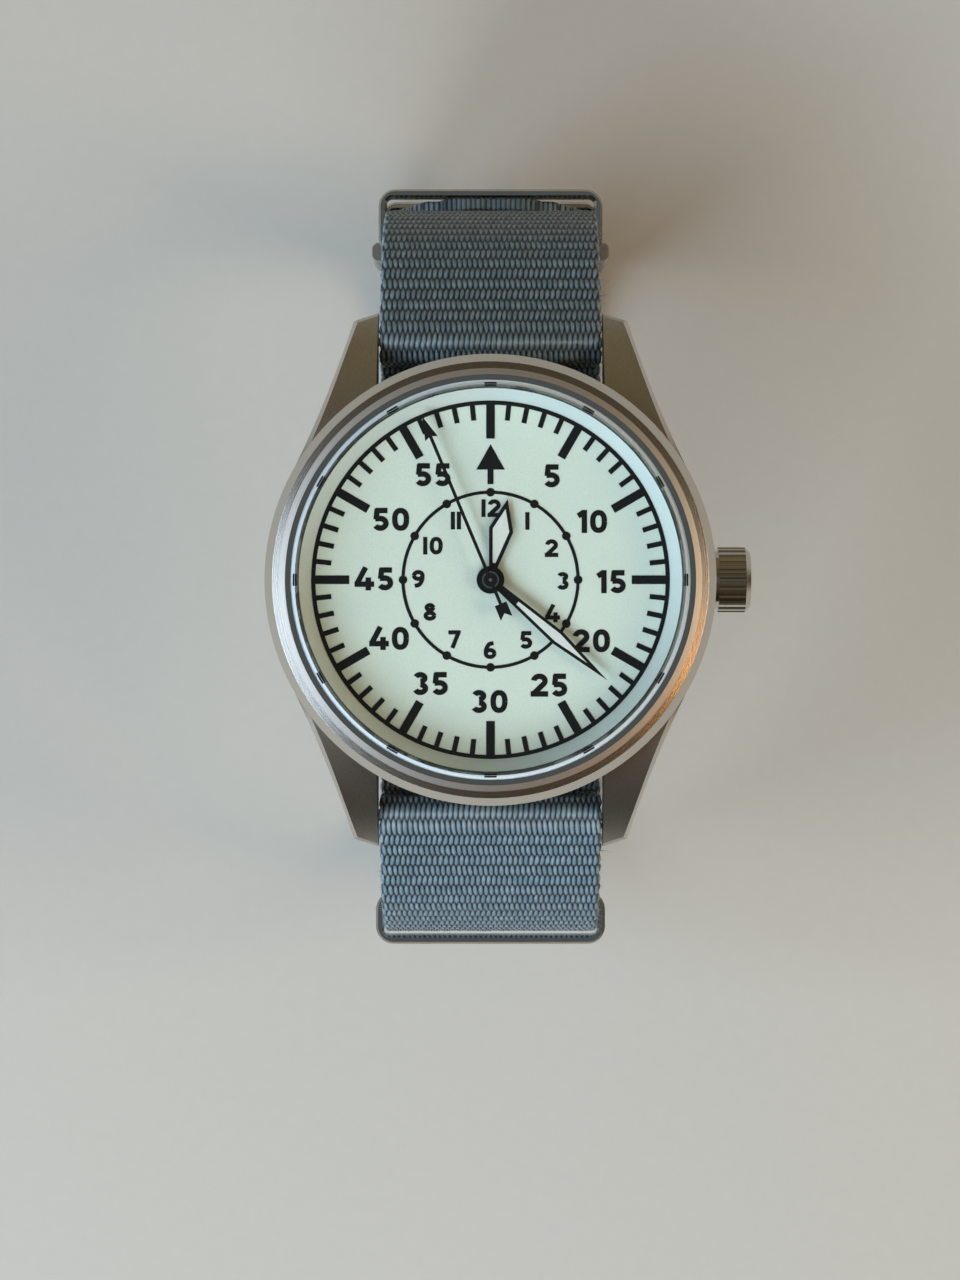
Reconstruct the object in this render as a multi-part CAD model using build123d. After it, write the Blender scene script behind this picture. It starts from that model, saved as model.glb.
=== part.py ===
from build123d import *
from cmath import exp, phase, pi
from math import asin, cos, radians, sin, sqrt, tan
import os

# Pilot watch on a pull-through webbing strap, stored closed as a loop.
# Millimetres. Z points out of the crystal, Y to twelve o'clock, X to the crown.
# The origin is on the surface that the loop rests on, straight below the dial's centre.
# A name that ends in share or shares is a part of another size, not a length.

# Case
case_radius = 20.0
bar_clearance = 1.6
bar_to_lug_tip = 2.7
case_back_height = 48.0
case_back_inset = 2.0
bezel_width = 2.55
bezel_seat_drop = 0.3
crystal_overlap = 0.15
movement_step = 0.4

bar_reach = case_radius + bar_clearance
lug_tip_reach = bar_reach + bar_to_lug_tip
crystal_radius = case_radius - bezel_width
dial_bore_radius = crystal_radius - crystal_overlap
movement_bore_radius = dial_bore_radius - movement_step

# Layers of the head, from the case back towards the crystal
back_flange_thickness = 0.8
back_plate_thickness = 1.2
rotor_clearance = 0.3
rotor_thickness = 1.2
rotor_to_bridge = 0.2
bridge_thickness = 0.8
train_space = 1.9
plate_thickness = 0.9
works_space = 0.6
dial_thickness = 0.4
flange_height = 1.6
crystal_ledge_thickness = 0.4
crystal_thickness = 1.7
bezel_height = 1.9
bezel_overhang = 0.05

z_back = case_back_height
z_mid = z_back + back_flange_thickness
z_rotor = z_back + back_plate_thickness + rotor_clearance
z_bridge = z_rotor + rotor_thickness + rotor_to_bridge
z_train = z_bridge + bridge_thickness
z_holder = z_bridge + bridge_thickness / 2
z_plate = z_train + train_space
z_works = z_plate + plate_thickness
z_dial = z_works + works_space
z_dial_top = z_dial + dial_thickness
z_ledge = z_dial_top + flange_height
z_crystal = z_ledge + crystal_ledge_thickness
z_mid_top = z_ledge - bezel_seat_drop
mid_case_height = z_mid_top - z_mid

# Crystal, dial and hands
dial_foot_reach = 11.7
dial_foot_angles = (40, 220)
gasket_thickness = 0.2
dial_gap = 0.1
flange_width = 1.15
track_gap = 0.05
minute_hand_gap = 2.27
seconds_hand_gap = 0.25
hour_hand_share = 0.460625
hour_hand_angle = 12.0
minute_hand_angle = 130.7
seconds_hand_angle = 337.3
hand_thickness = 0.15
hand_spacing = 0.3
first_hand_height = 0.4

dial_radius = dial_bore_radius - dial_gap
dial_edge_radius = dial_radius - flange_width
track_radius = dial_edge_radius - track_gap
hour_hand_length = hour_hand_share * track_radius
minute_hand_length = track_radius - minute_hand_gap
seconds_hand_length = track_radius - seconds_hand_gap
crystal_ledge_radius = crystal_radius - 3 * crystal_overlap

# Movement
plate_radius = 13.2
pocket_radius = 12.5
mesh_gap = 0.06
running_gap = 0.02
press_gap = 0.01
slip_gap = 0.05

# Crown, on an axis that lies in the middle of the mid case
crown_radius = 2.95
crown_length = 3.2
crown_gap = 0.1
crown_pull = 0.9
stem_radius = 0.5
crown_flutes = 24

# Spring bars
bar_radius = 0.75
bar_rise = 2.0
pin_radius = 0.4
pin_showing = 1.5
pin_travel = 0.8

# Strap and its loop
strap_width = 20.0
strap_thickness = 1.25
layer_gap = 0.15
lug_side_gap = 0.2
bar_end_gap = 0.5
loop_overhang_twelve = 13.3
loop_overhang_six = 11.3

lug_gap = strap_width + 2 * lug_side_gap
bar_length = lug_gap - 2 * bar_end_gap
loop_side_twelve = bar_reach + loop_overhang_twelve
loop_side_six = bar_reach + loop_overhang_six

# Buckle and rings on the strap
buckle_bar_radius = 0.6
buckle_length = 9.0
buckle_angle = -91.0
buckle_floor_gap = 1.0
far_bar_thickness = 2.0
ring_bar_thickness = 0.8
ring_bar_width = 2.2
ring_side_gap = 0.2
ring_corner_radius = 1.7
ring_inner_corner = 0.5
fixed_ring_rise = 7.1
ring_spacing = 6.4
tail_past_ring = 1.9

ring_width = strap_width + 2 * (ring_side_gap + ring_bar_thickness)
buckle_bar_height = buckle_length + far_bar_thickness + buckle_floor_gap
fixed_ring_height = buckle_bar_height + fixed_ring_rise
sliding_ring_height = fixed_ring_height + ring_spacing
flap_ring_height = 0.677083 * case_back_height
tail_tip_height = sliding_ring_height + tail_past_ring

# A cut runs this far past the face that it opens; lengths nearer than the shortest run are taken as equal
overrun = 1.0
shortest_run = 0.001

half_strap = strap_thickness / 2
layer_pitch = strap_thickness + layer_gap
bar_wrap_radius = bar_radius + layer_gap + half_strap
z_bar = z_back + bar_rise
z_stem = z_mid + mid_case_height / 2 - crown_gap


# Plain shapes that many pieces share

def column(radius, low, high, at=(0, 0)):
    return Pos(at[0], at[1], low) * Cylinder(radius, high - low, align=(Align.CENTER, Align.CENTER, Align.MIN))


def tube(outer, inner, low, high, at=(0, 0)):
    return column(outer, low, high, at) - column(inner, low - overrun, high + overrun, at)


def block(x_low, x_high, y_low, y_high, z_low, z_high):
    corner = (Align.MIN, Align.MIN, Align.MIN)
    return Pos(x_low, y_low, z_low) * Box(x_high - x_low, y_high - y_low, z_high - z_low, align=corner)


def slab(face, low, high):
    return extrude(Pos(0, 0, low) * face, amount=high - low, dir=(0, 0, 1))


def along_x(shape, height=z_stem):
    """Lay a shape that stands on Z along the X axis, at a height."""
    return Pos(0, 0, height) * Rot(0, 90, 0) * shape


def turned(outline):
    """Turn a closed outline of radius and height about the dial's axis."""
    return revolve(make_face(Plane.XZ * Polyline(*outline, close=True)), axis=Axis.Z)


def polar(distance, angle):
    return (distance * cos(radians(angle)), distance * sin(radians(angle)))


def shifted(place, distance, angle):
    step = polar(distance, angle)
    return (place[0] + step[0], place[1] + step[1])


def group(solids):
    return Compound(children=list(solids))


# Toothed wheels. The teeth stop just short of the wheel that they drive, so nothing binds.

tooth_shares = (0.0, 0.35, 0.5, 0.85)


def toothed_face(tip_radius, tooth_depth, teeth):
    root_radius = tip_radius - tooth_depth
    radii = (root_radius, root_radius, tip_radius, tip_radius)
    points = []
    for tooth in range(teeth):
        for radius, share in zip(radii, tooth_shares):
            points.append(polar(radius, 360 * (tooth + share) / teeth))
    return make_face(Polyline(*points, close=True))


def spoked_wheel(tip_radius, tooth_depth, teeth, rim, spokes, spoke_width, hub_radius):
    wheel = toothed_face(tip_radius, tooth_depth, teeth) - Circle(tip_radius - tooth_depth - rim)
    spoke_length = tip_radius - tooth_depth - rim / 2
    for index in range(spokes):
        arm = Rectangle(spoke_length, spoke_width, align=(Align.MIN, Align.CENTER))
        wheel += Rot(0, 0, 360 * index / spokes) * arm
    return wheel + Circle(hub_radius)


# Train of wheels: sizes, then the places that follow from them

wheel_thickness = 0.14
tooth_depth = 0.2
wheel_rim = 0.35
spoke_width = 0.3
pivot_radius = 0.15
arbor_radius = 0.2
jewel_radius = 0.6
jewel_thickness = 0.3

center_wheel_radius = 4.0
center_pinion_radius = 0.9
center_tube_radius = 0.55
center_bore_radius = 0.26
third_pinion_radius = 0.6
fourth_wheel_radius = 3.9
fourth_pinion_radius = 0.5
escape_pinion_radius = 0.45
escape_wheel_radius = 1.9
barrel_radius = 5.0
cannon_radius = 0.75
cannon_pinion_radius = 0.95
minute_wheel_radius = 2.6
minute_pinion_radius = 0.55
hour_tube_radius = 1.0
ratchet_radius = 4.0
balance_radius = 4.0
roller_radius = 0.9

third_distance = center_wheel_radius + third_pinion_radius + mesh_gap
third_place = polar(third_distance, -60)
third_wheel_radius = third_distance - fourth_pinion_radius - mesh_gap
escape_place = polar(fourth_wheel_radius + escape_pinion_radius + mesh_gap, -150)
pallet_to_escape = 2.4
pallet_to_balance = 3.1
pallet_place = shifted(escape_place, pallet_to_escape, -100)
balance_place = shifted(pallet_place, pallet_to_balance, -75)
barrel_place = polar(barrel_radius + center_pinion_radius + mesh_gap, 95)
minute_wheel_distance = cannon_pinion_radius + minute_wheel_radius + mesh_gap
minute_wheel_place = polar(minute_wheel_distance, 200)
hour_wheel_radius = minute_wheel_distance - minute_pinion_radius - mesh_gap
crown_wheel_distance = 6.46
crown_wheel_place = polar(crown_wheel_distance, 22)
ratchet_to_crown_wheel = sqrt(
    (crown_wheel_place[0] - barrel_place[0]) ** 2 + (crown_wheel_place[1] - barrel_place[1]) ** 2)
crown_wheel_radius = ratchet_to_crown_wheel - ratchet_radius - mesh_gap
crown_wheel_boss_radius = 0.8
minute_wheel_post_radius = 0.25

# Heights of the wheels between the bridges and the plate
fourth_wheel_rise = 0.08
third_wheel_rise = 0.28
center_wheel_rise = 0.55
balance_rise = 0.65
barrel_rise = 0.9
pallet_bridge_rise = 1.05
pallet_rise = 1.4
hairspring_rise = 0.15
z_fourth_wheel = z_train + fourth_wheel_rise
z_third_wheel = z_train + third_wheel_rise
z_center_wheel = z_train + center_wheel_rise
z_balance = z_train + balance_rise
z_barrel = z_train + barrel_rise
z_pallet_bridge = z_train + pallet_bridge_rise
z_pallet = z_train + pallet_rise
z_hairspring = z_train + hairspring_rise

# Pillars of the plate that the bridges are screwed to, and the foot of the balance cock
pillar_radius = 1.3
pillar_sink = 0.3
pillar_reach = pocket_radius - pillar_radius + pillar_sink
movement_screw_places = tuple(polar(pillar_reach, angle) for angle in (60, 120, -12, -60))
cock_foot_reach = 10.9
cock_foot_place = polar(cock_foot_reach, 205)
cock_foot_radius = pillar_radius


# Case

back_gasket_wall = 0.25
gasket_groove_inner = movement_bore_radius + back_gasket_wall
gasket_groove_width = 0.6


def lug_outline():
    """One lug from above: straight inside, hollowed outside, with a slanted end."""
    shoulder = (0.8985 * case_radius, 0.445 * case_radius)
    waist = (0.75 * case_radius, 0.78 * case_radius)
    tip_width = 2.24
    tip = (lug_gap / 2 + tip_width, lug_tip_reach - 0.04 * case_radius)
    inner_tip = (lug_gap / 2, lug_tip_reach)
    inner_root = (lug_gap / 2, shoulder[1])
    edges = [ThreePointArc(shoulder, waist, tip), Line(tip, inner_tip)]
    edges += [Line(inner_tip, inner_root), Line(inner_root, shoulder)]
    return make_face(edges)


def lug_side():
    """Both ends of the case seen from the crown: the lugs fall in one arc from the bezel to their tips."""
    height = mid_case_height
    tip_top = (lug_tip_reach, z_mid + 0.11 * height)
    tip_bottom = (lug_tip_reach, z_mid - 0.15 * height)
    crest = (0.37 * lug_tip_reach, z_mid_top)
    belly = (0.92 * lug_tip_reach, z_mid - 0.06 * height)
    root = (0.8 * lug_tip_reach, z_mid)
    body = Polyline(root, (0, z_mid), (0, z_mid_top), crest)
    top = TangentArc(crest, tip_top, tangent=(1, 0))
    under = ThreePointArc(tip_bottom, belly, root)
    half = make_face([body, top, Line(tip_top, tip_bottom), under])
    return half + mirror(half, about=Plane.YZ)


def on_lug_rim(edge):
    """True for the top edges of a lug along its outside and its tip."""
    middle = edge @ 0.5
    outside = middle.X > lug_gap / 2 + shortest_run and middle.Y > 0.46 * case_radius
    return outside and middle.Z > z_mid + 0.15 * mid_case_height


def lug():
    """The lug at the crown's side of twelve, with a fine bevel along the top of its outside."""
    bevel = 0.4
    side = extrude(Plane.YZ * lug_side(), amount=case_radius, both=True)
    shape = slab(lug_outline(), z_mid - lug_gap, z_mid_top + overrun) & side
    return chamfer(shape.edges().filter_by(on_lug_rim), bevel)


def mid_case():
    edge_chamfer = 0.5
    strap_clearance = 0.85
    flat_reach = bar_reach - bar_wrap_radius - half_strap - strap_clearance
    groove_inner = gasket_groove_inner
    groove_outer = gasket_groove_inner + gasket_groove_width
    groove_depth = 0.5
    hole_gap = 0.05
    tube_radius = 1.25
    body = column(case_radius, z_mid, z_mid_top)
    body = chamfer(body.edges().sort_by(Axis.Z)[0], edge_chamfer)
    corner = lug()
    pair = corner + mirror(corner, about=Plane.YZ)
    body += pair + mirror(pair, about=Plane.XZ)
    for sense in (1, -1):
        near, far = sorted((sense * flat_reach, sense * case_radius * 2))
        body -= block(-lug_gap / 2, lug_gap / 2, near, far, z_mid - lug_gap, z_mid_top + overrun)
    body -= column(movement_bore_radius, z_mid - overrun, z_mid_top + overrun)
    body -= column(dial_bore_radius, z_dial, z_mid_top + overrun)
    body -= tube(groove_outer, groove_inner, z_mid - overrun, z_mid + groove_depth)
    body -= along_x(column(tube_radius, dial_radius - overrun * 2, case_radius + overrun))
    hole_reach = bar_length / 2 + pin_showing + hole_gap
    for sense in (1, -1):
        hole = along_x(column(pin_radius + hole_gap, -hole_reach, hole_reach), z_bar)
        body -= Pos(0, sense * bar_reach, 0) * hole
    return body


def bezel():
    """A ring with an outer slope, a broad cone, a fine groove and a polished inner lip."""
    outer = case_radius + bezel_overhang
    lip_width = 0.4
    lip_inner = crystal_radius + gasket_thickness
    lip_outer = lip_inner + lip_width
    z_lip = z_mid_top + bezel_height
    slope_width = 0.75
    slope_height = 0.4
    cone_drop = 0.35
    groove_width = 0.07
    groove_depth = 0.15
    outline = (
        (dial_bore_radius, z_mid_top),
        (outer, z_mid_top),
        (outer, z_mid_top + slope_height),
        (outer - slope_width, z_lip - cone_drop),
        (lip_outer + groove_width, z_lip - groove_depth / 2),
        (lip_outer + groove_width, z_lip - groove_depth * 2),
        (lip_outer, z_lip - groove_depth * 2),
        (lip_outer, z_lip),
        (lip_inner, z_lip),
        (lip_inner, z_crystal),
        (crystal_ledge_radius, z_crystal),
        (crystal_ledge_radius, z_ledge),
        (dial_bore_radius, z_ledge),
    )
    return turned(outline)


def crystal():
    edge = 0.2
    disc = column(crystal_radius, z_crystal, z_crystal + crystal_thickness)
    return chamfer(disc.edges().sort_by(Axis.Z)[-1], edge)


def crystal_gasket():
    below_lip = 0.1
    return tube(crystal_radius + gasket_thickness, crystal_radius, z_crystal, z_mid_top + bezel_height - below_lip)


def flange_ring():
    outer = dial_bore_radius - slip_gap
    outline = ((dial_edge_radius, z_dial_top), (outer, z_dial_top), (outer, z_ledge), (crystal_ledge_radius, z_ledge))
    return turned(outline)


back_collar_wall = 0.9
back_collar_outer = movement_bore_radius - crown_gap
back_collar_inner = back_collar_outer - back_collar_wall


def case_back():
    """A screwed back: flange, inner plate, collar for the thread and six slots for a key."""
    flange_radius = case_radius - case_back_inset
    slot_count = 6
    slot_inset = 1.6
    slot_reach = flange_radius - slot_inset
    slot_width = 2.4
    slot_length = 1.7
    slot_depth = 0.4
    edge = 0.2
    back = column(flange_radius, z_back, z_mid)
    back = chamfer(back.edges().sort_by(Axis.Z)[0], edge)
    back += column(back_collar_inner + overrun / 2, z_back, z_back + back_plate_thickness)
    back += tube(back_collar_outer, back_collar_inner, z_back, z_holder)
    slot = Box(slot_length, slot_width, slot_depth, align=(Align.CENTER, Align.CENTER, Align.MIN))
    for index in range(slot_count):
        back -= Rot(0, 0, 360 * index / slot_count) * Pos(slot_reach, 0, z_back) * slot
    return back


def case_back_gasket():
    inner = gasket_groove_inner + slip_gap
    outer = gasket_groove_inner + gasket_groove_width - slip_gap
    height = 0.45
    return tube(outer, inner, z_mid, z_mid + height)


# Dial

def dial():
    """A thin disc with a centre hole and two feet that hold it in the main plate."""
    hole = 1.25
    foot_radius = 0.35
    foot_length = 0.55
    plate = tube(dial_radius, hole, z_dial, z_dial_top)
    for angle in dial_foot_angles:
        foot_place = polar(dial_foot_reach, angle)
        plate += column(foot_radius, z_dial - foot_length, z_dial + dial_thickness / 2, foot_place)
    return plate


def minute_track():
    """The printed scale: a ring, sixty strokes drawn in from it, and the arrow at twelve."""
    print_thickness = 0.04
    ring_width_here = 0.38
    tick_inner = 0.8925 * track_radius
    tick_width = 0.45
    bar_inner = 0.7875 * track_radius
    bar_width = 0.77
    strokes = 60
    strokes_per_bar = 5
    arrow_tip = 0.755 * track_radius
    arrow_base = 0.614375 * track_radius
    arrow_width = 2.55
    arrow_foot = 0.533125 * track_radius
    stem_width = 0.53
    ring_inner = track_radius - ring_width_here
    face = Circle(track_radius) - Circle(ring_inner)
    for index in range(strokes):
        long = index % strokes_per_bar == 0
        inner = bar_inner if long else tick_inner
        width = bar_width if long else tick_width
        stroke = Rectangle(track_radius - ring_width_here / 2 - inner, width, align=(Align.MIN, Align.CENTER))
        face += Rot(0, 0, 360 * index / strokes) * Pos(inner, 0) * stroke
    head = make_face(Polyline((-arrow_width / 2, arrow_base), (arrow_width / 2, arrow_base), (0, arrow_tip),
                              close=True))
    stem = Pos(0, arrow_foot) * Rectangle(stem_width, arrow_base - arrow_foot + stem_width,
                                          align=(Align.CENTER, Align.MIN))
    scale = slab(face, z_dial_top, z_dial_top + print_thickness)
    return group([scale, slab(head + stem, z_dial_top, z_dial_top + print_thickness)])


def hour_circle():
    """The thin inner circle with a dot at each hour."""
    print_thickness = 0.04
    circle_radius = 0.488125 * track_radius
    line_width = 0.29
    dot_radius = 0.385
    face = Circle(circle_radius + line_width / 2) - Circle(circle_radius - line_width / 2)
    dots = 12
    for index in range(dots):
        face += Rot(0, 0, 360 * index / dots) * Pos(circle_radius, 0) * Circle(dot_radius)
    return slab(face, z_dial_top, z_dial_top + print_thickness)


# Hands, each drawn pointing to twelve and then turned to its time

z_hour_hand = z_dial_top + first_hand_height
z_minute_hand = z_hour_hand + hand_thickness + hand_spacing
z_seconds_hand = z_minute_hand + hand_thickness + hand_spacing


def sword_outline(length, root, root_half, belly_share, belly_half):
    belly = belly_share * length
    return make_face(Polyline((-root_half, root), (-belly_half, belly), (0, length), (belly_half, belly),
                              (root_half, root), close=True))


def sword_window(outline, frame, start):
    return offset(outline, amount=-frame) - Circle(start)


def hour_hand_faces():
    root_half = 0.37
    belly_half = 1.1
    hub_radius = 1.22
    window_start = 1.54
    frame = 0.33
    blade = sword_outline(hour_hand_length, 0.9 * hub_radius, root_half, 0.617, belly_half)
    window = sword_window(blade, frame, window_start)
    return blade + Circle(hub_radius) - Circle(hour_tube_radius + press_gap) - window, window


def minute_hand_faces():
    root_half = 0.32
    belly_half = 0.69
    hub_radius = 1.1
    window_start = 3.16
    frame = 0.28
    blade = sword_outline(minute_hand_length, 0.9 * hub_radius, root_half, 0.574, belly_half)
    window = sword_window(blade, frame, window_start)
    return blade + Circle(hub_radius) - Circle(cannon_radius + press_gap) - window, window


def at_time(face, angle, low):
    return Rot(0, 0, -angle) * slab(face, low, low + hand_thickness)


def hour_hand():
    return at_time(hour_hand_faces()[0], hour_hand_angle, z_hour_hand)


def hour_hand_lume():
    return at_time(offset(hour_hand_faces()[1], amount=-press_gap), hour_hand_angle, z_hour_hand)


def minute_hand():
    return at_time(minute_hand_faces()[0], minute_hand_angle, z_minute_hand)


def minute_hand_lume():
    return at_time(offset(minute_hand_faces()[1], amount=-press_gap), minute_hand_angle, z_minute_hand)


def seconds_hand():
    """A needle with an arrowhead, a round boss on a short pipe and a notched tail."""
    needle_half = 0.15
    head_length = 2.17
    head_base = seconds_hand_length - head_length
    head_half = 0.605
    head_notch = 0.25
    tail_start = 2.31
    tail_end = 3.72
    tail_notch = 3.22
    tail_half = 0.56
    boss_radius = 0.62
    pipe_radius = 0.45
    pipe_length = 0.2
    cap_radius = 0.2
    cap_height = 0.1
    needle = Pos(0, -tail_start) * Rectangle(needle_half * 2, tail_start + head_base + head_half,
                                             align=(Align.CENTER, Align.MIN))
    head = make_face(Polyline((-head_half, head_base), (0, seconds_hand_length), (head_half, head_base),
                              (0, head_base + head_notch), close=True))
    tail = make_face(Polyline((-tail_half, -tail_start), (tail_half, -tail_start), (tail_half, -tail_end),
                              (0, -tail_notch), (-tail_half, -tail_end), close=True))
    hand = at_time(needle + head + tail + Circle(boss_radius), seconds_hand_angle, z_seconds_hand)
    hand += column(pipe_radius, z_seconds_hand - pipe_length, z_seconds_hand)
    hand += column(cap_radius, z_seconds_hand, z_seconds_hand + hand_thickness + cap_height)
    arbor_end = z_seconds_hand + hand_thickness / 2
    return hand - column(arbor_radius + press_gap, z_seconds_hand - pipe_length - overrun, arbor_end)


# Movement: fixed pieces

def movement_ring():
    ring = tube(movement_bore_radius - slip_gap, plate_radius + slip_gap, z_holder, z_dial)
    return ring - along_x(column(stem_radius + crown_gap, plate_radius - overrun, movement_bore_radius + overrun))


def main_plate():
    """The plate with a pocket for the train behind and one for the hand wheels in front."""
    works_pocket_radius = 7.0
    foot_hole_radius = 0.4
    foot_hole_depth = 0.6
    plate = column(plate_radius, z_train, z_dial)
    plate -= column(pocket_radius, z_train - overrun, z_plate)
    plate -= column(works_pocket_radius, z_works, z_dial + overrun)
    for angle in dial_foot_angles:
        foot_place = polar(dial_foot_reach, angle)
        plate -= column(foot_hole_radius, z_dial - foot_hole_depth, z_dial + overrun, foot_place)
    plate -= along_x(column(stem_radius + crown_gap, pocket_radius - overrun, plate_radius + overrun))
    for place in plate_jewel_places:
        plate -= column(jewel_radius + press_gap, z_plate - overrun, z_plate + jewel_thickness, place)
    plate -= column(center_tube_radius + slip_gap, z_plate - overrun, z_works + overrun)
    plate += column(minute_wheel_post_radius, z_plate + plate_thickness / 2, z_hour_wheel, minute_wheel_place)
    for place in movement_screw_places:
        plate += column(pillar_radius, z_train, z_plate + plate_thickness / 2, place)
        plate -= column(screw_radius + press_gap, z_train - overrun, z_train + screw_length + crown_gap, place)
    return plate


plate_jewel_places = (third_place, escape_place, pallet_place, balance_place)
screw_radius = 0.35
screw_length = 0.9
screw_head_radius = 0.7
screw_head_depth = 0.4
bridge_split = 1.3
bridge_gap = 0.2
bridge_radius = 13.0


def screw_seats(bridge, places):
    for place in places:
        bridge -= column(screw_head_radius + press_gap, z_bridge - overrun, z_bridge + screw_head_depth, place)
        bridge -= column(screw_radius + press_gap, z_bridge - overrun, z_train + overrun, place)
    return bridge


def barrel_bridge():
    """The upper bridge, with recesses for the ratchet wheel and the crown wheel."""
    recess_depth = 0.4
    recess_gap = 0.15
    bridge = column(bridge_radius, z_bridge, z_train)
    bridge -= block(-bridge_radius, bridge_radius, -bridge_radius, bridge_split + bridge_gap / 2,
                    z_bridge - overrun, z_train + overrun)
    bridge -= column(ratchet_radius + recess_gap, z_bridge - overrun, z_bridge + recess_depth, barrel_place)
    bridge -= column(crown_wheel_radius + recess_gap, z_bridge - overrun, z_bridge + recess_depth, crown_wheel_place)
    bridge += column(crown_wheel_boss_radius, z_bridge, z_train, crown_wheel_place)
    bridge -= column(barrel_arbor_radius + slip_gap, z_bridge - overrun, z_train + overrun, barrel_place)
    return screw_seats(bridge, movement_screw_places[:2])


barrel_arbor_radius = 0.8


def train_bridge():
    """The lower bridge, cut back where the balance shows."""
    balance_window_right = 1.15
    balance_window_top = -2.95
    post_hole = 0.5
    crown_recess_depth = 0.4
    crown_recess_gap = 0.15
    bridge = column(bridge_radius, z_bridge, z_train)
    bridge -= block(-bridge_radius, bridge_radius, bridge_split - bridge_gap / 2, bridge_radius,
                    z_bridge - overrun, z_train + overrun)
    bridge -= block(-bridge_radius - overrun, balance_window_right, -bridge_radius - overrun, balance_window_top,
                    z_bridge - overrun, z_train + overrun)
    bridge -= column(crown_wheel_radius + crown_recess_gap, z_bridge - overrun, z_bridge + crown_recess_depth,
                     crown_wheel_place)
    for place in (third_place, escape_place):
        bridge -= column(jewel_radius + press_gap, z_train - jewel_thickness, z_train + overrun, place)
    bridge -= column(post_hole, z_train - jewel_thickness, z_train + overrun)
    return screw_seats(bridge, movement_screw_places[2:])


def balance_cock():
    """A finger that stands on one foot and carries the balance's back pivot."""
    run = (balance_place[0] - cock_foot_place[0], balance_place[1] - cock_foot_place[1])
    length = sqrt(run[0] ** 2 + run[1] ** 2)
    angle = phase(complex(*run)) * 180 / pi
    middle = ((balance_place[0] + cock_foot_place[0]) / 2, (balance_place[1] + cock_foot_place[1]) / 2)
    finger = Pos(*middle) * Rot(0, 0, angle) * SlotCenterToCenter(length, cock_foot_radius * 2)
    cock = slab(finger, z_bridge, z_train) + column(cock_foot_radius, z_bridge, z_plate, cock_foot_place)
    cock -= column(jewel_radius + press_gap, z_train - jewel_thickness, z_train + overrun, balance_place)
    return cock


def pallet_bridge():
    """A narrow bar on two short feet, over the pallet fork."""
    half_length = 2.3
    foot_radius = 0.5
    bar_thickness_here = 0.25
    small_hole = pivot_radius + running_gap
    top = z_pallet_bridge + bar_thickness_here
    bar = slab(Pos(*pallet_place) * SlotCenterToCenter(half_length * 2, foot_radius * 2), z_pallet_bridge, top)
    for sense in (1, -1):
        place = (pallet_place[0] + sense * half_length, pallet_place[1])
        bar += column(foot_radius, z_pallet_bridge, z_plate, place)
    return bar - column(small_hole, z_pallet_bridge - overrun, top + overrun, pallet_place)


def jewels():
    """The ruby bearings, pressed into the plate, the train bridge and the cock."""
    bore = pivot_radius + running_gap
    stones = []
    for place in plate_jewel_places:
        stones.append(tube(jewel_radius, bore, z_plate, z_plate + jewel_thickness, place))
    for place in (third_place, escape_place, balance_place):
        stones.append(tube(jewel_radius, bore, z_train - jewel_thickness, z_train, place))
    return group(stones)


def bridge_screws():
    slot_width = 0.2
    slot_depth = 0.15
    screws = []
    for place in movement_screw_places:
        head = column(screw_head_radius, z_bridge, z_bridge + screw_head_depth, place)
        shank = column(screw_radius, z_bridge, z_train + screw_length, place)
        slot = Pos(place[0], place[1], z_bridge) * Box(screw_head_radius * 3, slot_width, slot_depth * 2)
        screws.append(head + shank - slot)
    return group(screws)


# Movement: the train

def pivoted_arbor(place, low, high):
    """An arbor whose thin pivots end inside the jewels."""
    pivot_length = jewel_thickness / 2
    staff = column(arbor_radius, low + slip_gap, high - slip_gap, place)
    return staff + column(pivot_radius, low - pivot_length, high + pivot_length, place)


def center_wheel():
    """The wheel that turns once an hour, on a hollow arbor that carries the cannon pinion."""
    pinion_teeth = 12
    wheel_teeth = 80
    pinion_low = z_barrel + 0.3
    pinion_height = 0.4
    tube_top = z_minute_hand
    wheel = spoked_wheel(center_wheel_radius, tooth_depth, wheel_teeth, wheel_rim, 5, spoke_width,
                         center_pinion_radius)
    solid = slab(wheel, z_center_wheel, z_center_wheel + wheel_thickness)
    solid += slab(toothed_face(center_pinion_radius, tooth_depth, pinion_teeth), pinion_low,
                  pinion_low + pinion_height)
    solid += column(center_tube_radius, z_center_wheel, tube_top)
    return solid - column(center_bore_radius, z_center_wheel - overrun, tube_top + overrun)


def cannon_pinion():
    """The sleeve that carries the minute hand and drives the minute wheel."""
    teeth = 12
    pinion_height = 0.2
    sleeve = column(cannon_radius, z_works + slip_gap, z_minute_hand + hand_thickness)
    sleeve += slab(toothed_face(cannon_pinion_radius, tooth_depth, teeth), z_works + slip_gap,
                   z_works + slip_gap + pinion_height)
    return sleeve - column(center_tube_radius + press_gap, z_works - overrun, z_minute_hand + overrun)


def third_wheel():
    wheel_teeth = 75
    pinion_teeth = 10
    pinion_height = 0.25
    wheel = spoked_wheel(third_wheel_radius, tooth_depth, wheel_teeth, wheel_rim, 5, spoke_width,
                         third_pinion_radius)
    solid = slab(wheel, z_third_wheel, z_third_wheel + wheel_thickness)
    solid += slab(toothed_face(third_pinion_radius, tooth_depth, pinion_teeth), z_third_wheel,
                  z_center_wheel + pinion_height)
    return Pos(*third_place) * solid + pivoted_arbor(third_place, z_train, z_plate)


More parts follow.
